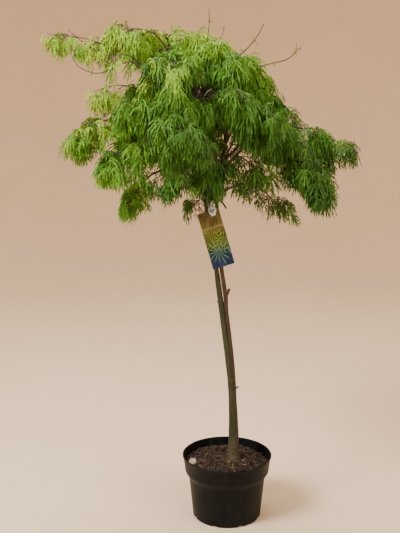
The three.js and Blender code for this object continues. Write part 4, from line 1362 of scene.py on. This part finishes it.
def leaf_places(mass, shoots):
    """Opposite pairs of leaves along every twig and one at its tip: root, heading, tone."""
    draw = mass.draw
    usual, patches = LEAF["patchy"]
    along, aside, up = LEAF["spread"]
    roots, outs, tones = [], [], []
    for shoot in shoots:
        count = max(1, int(shoot.length / LEAF["step"]))
        first = LEAF["bare"][min(shoot.order, 1)]
        for i in range(count):
            share = first + (1 - first) * (i + LEAF["offset"]) / count
            here = min(share, LEAF["last"])
            if shoot.order == 0 and draw.random() > LEAF["on_stem"] * mass.fullness:
                continue
            if draw.random() > usual + patches * lumps(shoot.at(here), LEAF["patch_size"]):
                continue
            for half in (0, 1):
                if draw.random() > grown(LEAF["full"], mass.fullness):
                    continue
                turn = (i % 2) * LEAF["pair_turn"] + half * math.pi + draw.normal(0, LEAF["wander"])
                heading, side = shoot.side(here, turn)
                roots.append(shoot.at(here))
                outs.append(unit(heading * along + side * aside + UP * up))
                tones.append((shoot.tone or 0.0) + LEAF_LIGHT_AND_AGE["along"] * share + draw.normal(0, LEAF_LIGHT_AND_AGE["own"]))
        roots.append(shoot.at(0.995))
        outs.append(unit(shoot.heading(0.99) + UP * 0.1))
        tones.append((shoot.tone or 0.0) + LEAF_LIGHT_AND_AGE["tip"])
    return np.array(roots), np.array(outs), np.array(tones)


def lobe_directions(blade, across, jitter):
    """Unit directions of all lobes of all leaves, and the direction of their width."""
    angles = np.radians(LEAF["lobes"])[None, :, None] + jitter
    blade, across = blade[:, None], across[:, None]
    along = np.cos(angles) * blade + np.sin(angles) * across
    wide = -np.sin(angles) * blade + np.cos(angles) * across
    return along, wide


def lobe_reach(lengths):
    return lengths[..., None] * np.array(LEAF["reach"])[:, None]


def lobe_points(palm, along, reach, share):
    """Points at a share of the way along the lobes, which slow down and fall towards their tips."""
    run = share - LEAF["slow"] * share ** 2
    fall = LEAF["fall"] * share ** 2
    return palm[:, None] + reach * (along * run - UP * fall)


def leaf_axes(blade, out):
    across = np.cross(blade, out)
    weak = np.linalg.norm(across, axis=-1) < 0.05
    across[weak] = np.cross(blade[weak], UP)
    return unit(across)


def palm_of(roots, outs, shrink):
    """Where the lobes of a leaf start: the end of its stalk."""
    return roots + (outs + UP * 0.15) * LEAF["stalk"] * shrink


def place_leaves(mass, roots, outs, tones):
    """The first pose of each leaf that keeps to the space and off the limbs."""
    draw = mass.draw
    total = len(roots)
    middle = (STRETCHES[:, :3] + STRETCHES[:, 3:6]) / 2
    near = (middle > roots.min(0) - NEAR_LIMBS) & (middle < roots.max(0) + NEAR_LIMBS)
    near = STRETCHES[near.all(1)]
    placed = np.zeros(total, bool)
    blades = np.zeros((total, 3))
    lengths = np.zeros(total)
    smallest, size_range = LEAF["sizes"]
    droop, droop_range = LEAF["droop"]
    size = LEAF["length"] * (smallest + size_range * draw.random(total))
    young, loss, least, most = LEAF["by_tone"]
    size *= np.clip(young - loss * tones, least, most)
    for attempt in range(LEAF["tries"]):
        shrink = 1 - (1 - LEAF["least"]) * attempt / (LEAF["tries"] - 1)
        sway = (draw.random((total, 3)) - 0.5) * LEAF["sway"]
        blade = unit(outs * LEAF["ahead"] + sway - UP * (droop + droop_range * draw.random((total, 1))))
        length = size * shrink
        palm = palm_of(roots, outs, shrink)
        across = leaf_axes(blade, outs)
        along, _ = lobe_directions(blade, across, 0.0)
        reach = lobe_reach(length[:, None])
        tips = lobe_points(palm, along, reach, 1.0)
        mids = lobe_points(palm, along, reach, 0.6)
        points = np.concatenate([tips, mids, palm[:, None]], 1)
        fits = mass.inside(tips, LEAF["skin"][0]).all(1) & mass.inside(palm, LEAF["skin"][1])
        fits &= clear_of_limbs(points, near).all(1) & clear_of_label(points).all(1)
        fits &= clear_of_hollow(points).all(1)
        new = fits & ~placed
        blades[new] = blade[new]
        lengths[new] = length[new]
        placed |= new
    return placed, blades, lengths


def leaf_template():
    """Triangles of one leaf: a three-sided stalk, then the toothed ribbon of each lobe."""
    faces = []
    for ring in (0, 1):
        for i in range(3):
            a, b = ring * 3 + i, ring * 3 + (i + 1) % 3
            faces += [(a, b, b + 3), (a, b + 3, a + 3)]
    stations = len(LEAF["outline"])
    base = 9
    for _ in LEAF["lobes"]:
        for j in range(stations - 1):
            left, right = base + 2 * j, base + 2 * j + 1
            faces += [(left, right, right + 2), (left, right + 2, left + 2)]
        tip = base + 2 * stations
        faces.append((tip - 2, tip - 1, tip))
        base = tip + 1
    return np.array(faces), base


LEAF_FACES, LEAF_VERTICES = leaf_template()


def leaf_vertices(roots, outs, blades, lengths, draw):
    """All the points of many leaves at once."""
    total = len(roots)
    lobes = len(LEAF["lobes"])
    shrink = (lengths / LEAF["length"])[:, None]
    palm = palm_of(roots, outs, np.minimum(shrink, 1))
    across = leaf_axes(blades, outs)
    jitter = draw.normal(0, LEAF["lobe_turn"], (total, lobes, 1))
    along, wide = lobe_directions(blades, across, jitter)
    lift = draw.normal(*LEAF["lobe_lift"], (total, lobes, 1))
    along = unit(along + np.cross(across, blades)[:, None] * lift)
    uneven = lengths[:, None] * draw.uniform(*LEAF["lobe_length"], (total, lobes))
    roll = draw.normal(0, LEAF["lobe_roll"], (total, lobes, 1))
    rings = []
    stalk_side = unit(np.cross(outs, across))
    for share, thick in LEAF["stalk_rings"]:
        bow = UP * LEAF["stalk_bow"] * math.sin(share * math.pi)
        centre = roots + (palm - roots) * share + bow
        for i in range(3):
            turn = i / 3 * TAU
            side = across * math.cos(turn) + stalk_side * math.sin(turn)
            rings.append(centre + side * LEAF["stalk_radius"] * thick)
    stalk = np.stack(rings, 1)
    stations = len(LEAF["outline"])
    reach = lobe_reach(uneven)
    ribbons = np.zeros((total, lobes, 2 * stations + 1, 3))
    width = LEAF["half_width"] * grown(LEAF["widths"], draw.random((total, 1, 1)))
    width = width * np.sqrt(shrink)[:, None]
    stretch = 1.0 / stations
    for j, half in enumerate(LEAF["outline"]):
        lean = LEAF["tooth_lean"] * stretch * (j % 2)
        share = LEAF["lobe_start"] + (1 - LEAF["lobe_start"]) * j * stretch
        centre = lobe_points(palm, along, reach, share)
        heading = unit(along * (1 - 2 * LEAF["slow"] * share) - UP * 2 * LEAF["fall"] * share)
        flat = unit(wide - heading * (wide * heading).sum(-1, keepdims=True))
        spin = roll * (0.4 + share)
        flat = flat * np.cos(spin) + np.cross(heading, flat) * np.sin(spin)
        forward = heading * reach * lean
        ribbons[:, :, 2 * j] = centre + flat * width * half + forward
        ribbons[:, :, 2 * j + 1] = centre - flat * width * half + forward
    ribbons[:, :, -1] = lobe_points(palm, along, reach, 1.0)
    return np.concatenate([stalk, ribbons.reshape(total, -1, 3)], 1)


def spray_tone(mass, points, own):
    """0 for the darkest leaves and 1 for the lightest: painted light high up, out to the left and on top
    of each mass, painted shade towards the front, with each mass's shift and each leaf's own age.
    """
    x, y, z = points.T
    high = (z - LEAF_LIGHT_AND_AGE["level"]) / LEAF_LIGHT_AND_AGE["rise"]
    leftward = (LEAF_LIGHT_AND_AGE["side"] - x) / LEAF_LIGHT_AND_AGE["breadth"]
    share = np.clip((points - mass.start) @ (mass.end - mass.start) / mass.length ** 2, 0, 1)
    axis = mass.start[2] + (mass.end - mass.start)[2] * share
    tier = np.clip((z - axis) / mass.radius, -1.2, 1.2)
    forward = np.clip((LEAF_LIGHT_AND_AGE["front"] - y) / LEAF_LIGHT_AND_AGE["depth"], 0, 1)
    by_place = LEAF_LIGHT_AND_AGE["high"] * high + LEAF_LIGHT_AND_AGE["left"] * leftward + LEAF_LIGHT_AND_AGE["tier"] * tier - LEAF_LIGHT_AND_AGE["forward"] * forward
    return LEAF_LIGHT_AND_AGE["middle"] + MASS_LIGHT_AND_AGE_SHIFTS.get(mass.name, 0.0) + by_place + own


def young_leaves():
    """Small leaves in pairs on the lower part of the bare shoots."""
    draw = np.random.default_rng(17)
    rows = []
    for points, radius in BARE_SHOOTS[:YOUNG["shoots"]]:
        shoot = Shoot(through(points, 6 * len(points)), radius, 1, 0)
        for i, share in enumerate(np.arange(*YOUNG["part"], YOUNG["step"] / shoot.length)):
            for half in (0, 1):
                if draw.random() > 0.95 - share:
                    continue
                turn = (i % 2) * BARE_TURN + half * math.pi + draw.normal(0, 0.3)
                heading, side = shoot.side(share, turn)
                out = unit(heading * 0.5 + side * 0.8 + UP * 0.2)
                blade = unit(out * 0.8 - UP * draw.uniform(*YOUNG["droop"]))
                length = draw.uniform(*YOUNG["length"]) * (1 - 0.4 * share)
                rows.append([*shoot.at(share), *out, *blade, length, draw.uniform(*YOUNG["tone"])])
    rows = np.array(rows)
    return rows[:, :3], rows[:, 3:6], rows[:, 6:9], rows[:, 9], rows[:, 10]


def make_foliage():
    nodes = ["foliage_" + mass.name for mass in MASS_LIST]
    twigs = Shoots()
    gathered = []
    for mass in MASS_LIST:
        shoots = grow_twigs(mass)
        for shoot in shoots:
            count = len(shoot.points)
            radii = shoot.radius * (1 - (1 - TWIG["tip_share"]) * np.linspace(0, 1, count))
            twigs.add(shoot.points, radii, 6 if shoot.order == 0 else 4)
        roots, outs, own = leaf_places(mass, shoots)
        tones = spray_tone(mass, roots, own)
        placed, blades, lengths = place_leaves(mass, roots, outs, tones)
        middles = roots + blades * lengths[:, None] * 0.5
        placed &= mass.draw.random(len(roots)) >= missing_share(middles)
        gathered.append([part[placed] for part in (roots, outs, blades, lengths, tones)])
    gathered.append(young_leaves())
    add_bare_shoots(twigs)
    twigs.make("fine_twigs", MATERIALS["twig_bark"], "young_bark", *nodes)
    roots, outs, blades, lengths, tones = (np.concatenate(parts) for parts in zip(*gathered))
    # The leaves' tones, painted light and shade with their age, deal them out among the finishes.
    steps = np.linspace(0, 1, len(LEAF_TONES) + 1)[1:-1]
    classes = np.digitize(tones, steps)
    draw = np.random.default_rng(7)
    for i, (name, (slot, dark, light)) in enumerate(LEAF_TONES.items()):
        chosen = np.flatnonzero(classes == i)
        material = mottled_material(name, dark, light, 42.0, (0.5, 0.68), shine=0.25)
        most = PIECE_FACES // len(LEAF_FACES)
        for part, first in enumerate(range(0, len(chosen), most)):
            some = chosen[first:first + most]
            points = leaf_vertices(roots[some], outs[some], blades[some], lengths[some], draw)
            offsets = np.arange(len(some)) * LEAF_VERTICES
            faces = LEAF_FACES[None] + offsets[:, None, None]
            piece = mesh_piece(name, points.reshape(-1, 3), faces.reshape(-1, 3))
            piece.data.shade_smooth()
            finish_piece(piece, f"{name}_{part + 1}", material, slot, *nodes)


def add_bare_shoots(twigs):
    """The bare shoots with their pairs of buds."""
    for points, radius in BARE_SHOOTS:
        count = 6 * len(points)
        line = through(points, count)
        twigs.add(line, 1.25 * radius * np.linspace(1, 0.5, count), 6)
        shoot = Shoot(line, radius, 1, 0)
        for i, share in enumerate(np.arange(BUD["first"], 1.0, BUD["step"] / shoot.length)):
            for half in (0, 1):
                heading, side = shoot.side(share, (i % 2) * BARE_TURN + half * math.pi + 0.4)
                foot = shoot.at(share)
                tip = foot + side * BUD["out"] + heading * BUD["ahead"]
                twigs.add([foot, (foot + tip) / 2, tip], BUD["radii"])
        steps = np.arange(3)[:, None] * BUD["end_step"]
        twigs.add(shoot.at(1.0) + shoot.heading(1) * steps, BUD["end_radii"])


def make_dead_twigs():
    twigs = Shoots()
    for points, radius in DEAD_TWIGS:
        count = 5 * len(points)
        twigs.add(through(points, count), radius * np.linspace(0.7, 1, count), 6)
    twigs.make("dead_twigs", MATERIALS["dead_twig"], "bark", "bough_front_upper")


def make_boughs():
    boughs = []
    nodes = []
    for mass in MASS_LIST:
        if mass.bough is None:
            continue
        rows = [(*point, radius) for point, radius in zip(mass.bough, mass.bough_radii)]
        rows.append((*mass.stem[1], TWIG["stem_radius"]))
        boughs.append(modelled_limb("bough", rows, *BOUGH_FORM))
        nodes.append("bough_" + mass.name)
    piece = join("boughs", boughs)
    smooth(piece)
    finish_piece(piece, "boughs", MATERIALS["bough_bark"], "bark", *nodes)


# ---------------------------------------------------------------- label and price tag
def place_card(piece, corner):
    """Carries a card modelled upright, in x and -z from its upper left corner, to its place."""
    across, down, face = label_axes()
    turn = Matrix((across, -face, -down)).transposed().to_4x4()
    piece.data.transform(Matrix.Translation(corner) @ turn)


def lay_along(piece, middle, along):
    """Carries a piece modelled upright round the origin to a middle and a direction."""
    turn = UPRIGHT.rotation_difference(along).to_matrix().to_4x4()
    piece.data.transform(Matrix.Translation(middle) @ turn)


def loop_round(height, band, thickness):
    """A thin band round the left leader."""
    x, y, z, radius = on_limb(LEFT_LEADER, height)
    clear_selection()
    bpy.ops.mesh.primitive_cylinder_add(
        vertices=32, radius=radius + LOOP_GAP, depth=band, end_fill_type="NOTHING", location=(0, 0, 0)
    )
    loop = bpy.context.object
    middle = Vector((x, y, z))
    lay_along(loop, middle, Vector(on_limb(LEFT_LEADER, height + 0.01)[:3]) - middle)
    apply_modifier(loop, "SOLIDIFY", thickness=thickness, offset=1)
    return loop


def strap(start, end, width, thickness):
    """A flat strip between two points."""
    clear_selection()
    bpy.ops.mesh.primitive_cube_add(size=1, location=(0, 0, 0))
    piece = bpy.context.object
    along = end - start
    piece.scale = (width, thickness, along.length + thickness)
    bpy.ops.object.transform_apply()
    lay_along(piece, (start + end) / 2, along)
    return piece


def card_shape(outline, thickness):
    """A flat card cut to an outline of x and -z, with softened edges."""
    card = mesh_piece("card", [(x, 0, -z) for x, z in outline], [tuple(range(len(outline)))])
    apply_modifier(card, "SOLIDIFY", thickness=thickness, offset=0)
    close_up(card)
    apply_modifier(card, "BEVEL", width=thickness * 0.3, segments=2, limit_method="ANGLE",
                   angle_limit=math.radians(60))
    return card


def rounded_outline(width, height, corner, steps=5):
    outline = []
    centres = ((width - corner, corner, -90), (width - corner, height - corner, 0),
               (corner, height - corner, 90), (corner, corner, 180))
    for x, z, start in centres:
        for i in range(steps + 1):
            angle = math.radians(start + 90 * i / steps)
            outline.append((x + corner * math.cos(angle), z + corner * math.sin(angle)))
    return outline


def add_card_map(piece):
    """The print's place on the card: across and down from 0 to 1, and past 1 on the plain back."""
    width, _, height = LABEL["size"]
    layer = piece.data.uv_layers.new(name="card")
    for polygon in piece.data.polygons:
        shift = 0.0 if polygon.normal.y < 0.5 else 1.5
        for loop in polygon.loop_indices:
            place = piece.data.vertices[piece.data.loops[loop].vertex_index].co
            layer.data[loop].uv = (place.x / width + shift, -place.z / height)


def hang(name, card, sizes, hold):
    """Joins a card to a loop round the left leader, by a strap from the loop's front to the card."""
    height, band = sizes["loop"]
    thickness = sizes["size"][1]
    x, y, z, radius = on_limb(LEFT_LEADER, height)
    start = Vector((x, y - radius - STRAP_REACH, z))
    neck = strap(start, hold(start), sizes["strap"], thickness)
    joined = join(name, [card, loop_round(height, band, thickness), neck])
    smooth(joined, 30)
    return joined


def make_label():
    width, thickness, height = LABEL["size"]
    across, down, _ = label_axes()
    corner = Vector(LABEL["corner"])
    card = card_shape(rounded_outline(width, height, LABEL["rounding"]), thickness)
    add_card_map(card)
    place_card(card, corner)

    def hold(start):
        return corner + across * (start - corner).dot(across) + down * LABEL["hold"]

    label = hang("plant_label", card, LABEL, hold)
    finish_piece(label, "hanging_label", MATERIALS["label"], "label", "plant_label")


def make_price_tag():
    width, thickness, height = PRICE_TAG["size"]
    across, down, face = label_axes()
    right, below, ahead = PRICE_TAG["offset"]
    corner = Vector(LABEL["corner"]) + across * right + down * below + face * ahead

    def tag_card(shares, depth, lift):
        card = card_shape([(x * width, z * height) for x, z in shares], depth)
        place_card(card, corner + face * lift)
        return card

    along, low = PRICE_TAG["hold"]
    end = corner + across * width * along + down * low
    card = tag_card(PRICE_TAG["shape"], thickness, 0.0)
    tag = hang("price_tag", card, PRICE_TAG, lambda start: end)
    finish_piece(tag, "white_price_tag", MATERIALS["tag"], "tag", "price_tag")
    depth = PRICE_TAG["print"]
    bars = []
    for left, top, wide, tall in PRICE_TAG["bars"]:
        shape = ((left, top), (left + wide, top), (left + wide, top + tall), (left, top + tall))
        bars.append(tag_card(shape, depth, (thickness + depth) / 2))
    finish_piece(join("tag_bars", bars), "tag_bars", MATERIALS["tag_print"], "tag", "price_tag")


# ---------------------------------------------------------------- studio
SWEEP = {"flat": 3.0, "bend": 3.5, "top": 5.5, "segments": 96}  # the floor and the wall that it turns into
LAMPS = (
    ("key", (-2.2, -1.6, 3.0), 1.2, 180.0, (1.0, 0.97, 0.90)),
    ("fill", (2.3, -2.3, 1.8), 2.0, 70.0, (1.0, 0.98, 0.94)),
    ("top", (-0.3, 0.6, 3.4), 1.4, 60.0, (1.0, 0.98, 0.94)),
)
LAMP_AIM = Vector((-0.05, 0, 0.9))
SKY = ((1.0, 0.94, 0.86, 1), 1.3)
CAMERA = {"place": (-0.073, -2.130, 1.085), "tilt": 79.4, "lens": 56.4, "sensor": 36}


def make_studio():
    flat, bend = SWEEP["flat"], SWEEP["bend"]
    sweep = [(flat, 0.0)]
    for degrees in range(8, 89, 8):
        turn = math.radians(degrees)
        sweep.append((flat + bend * math.sin(turn), bend * (1 - math.cos(turn))))
    sweep.append((flat + bend, SWEEP["top"]))
    floor = turned("studio_floor", sweep, SWEEP["segments"])
    smooth(floor)
    floor.data.materials.append(MATERIALS["floor"])
    floor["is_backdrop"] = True
    world = bpy.data.worlds.new("studio")
    bpy.context.scene.world = world
    world.use_nodes = True
    background = world.node_tree.nodes["Background"].inputs
    background["Color"].default_value, background["Strength"].default_value = SKY
    for name, place, size, power, colour in LAMPS:
        light = bpy.data.lights.new(name, "AREA")
        light.size = size
        light.energy = power
        light.color = colour
        lamp = bpy.data.objects.new(name, light)
        lamp.location = place
        lamp.rotation_euler = (LAMP_AIM - Vector(place)).to_track_quat("-Z", "Y").to_euler()
        bpy.context.scene.collection.objects.link(lamp)


def make_camera():
    camera = bpy.data.cameras.new("camera")
    camera.lens = CAMERA["lens"]
    camera.sensor_width = CAMERA["sensor"]
    holder = bpy.data.objects.new("camera", camera)
    holder.location = CAMERA["place"]
    holder.rotation_euler = (math.radians(CAMERA["tilt"]), 0, 0)
    bpy.context.scene.collection.objects.link(holder)
    bpy.context.scene.camera = holder


make_camera()
make_studio()
make_pot()
make_soil()
for chips in CHIPS:
    scatter_chips(*chips)
make_fibres()
make_white_grain()
make_stems()
make_boughs()
make_foliage()
make_dead_twigs()
make_label()
make_price_tag()

visual_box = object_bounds()
sizes = {"cad": cad_box, "visual": visual_box}
{key: [list(corner) for corner in box] for key, box in sizes.items()}
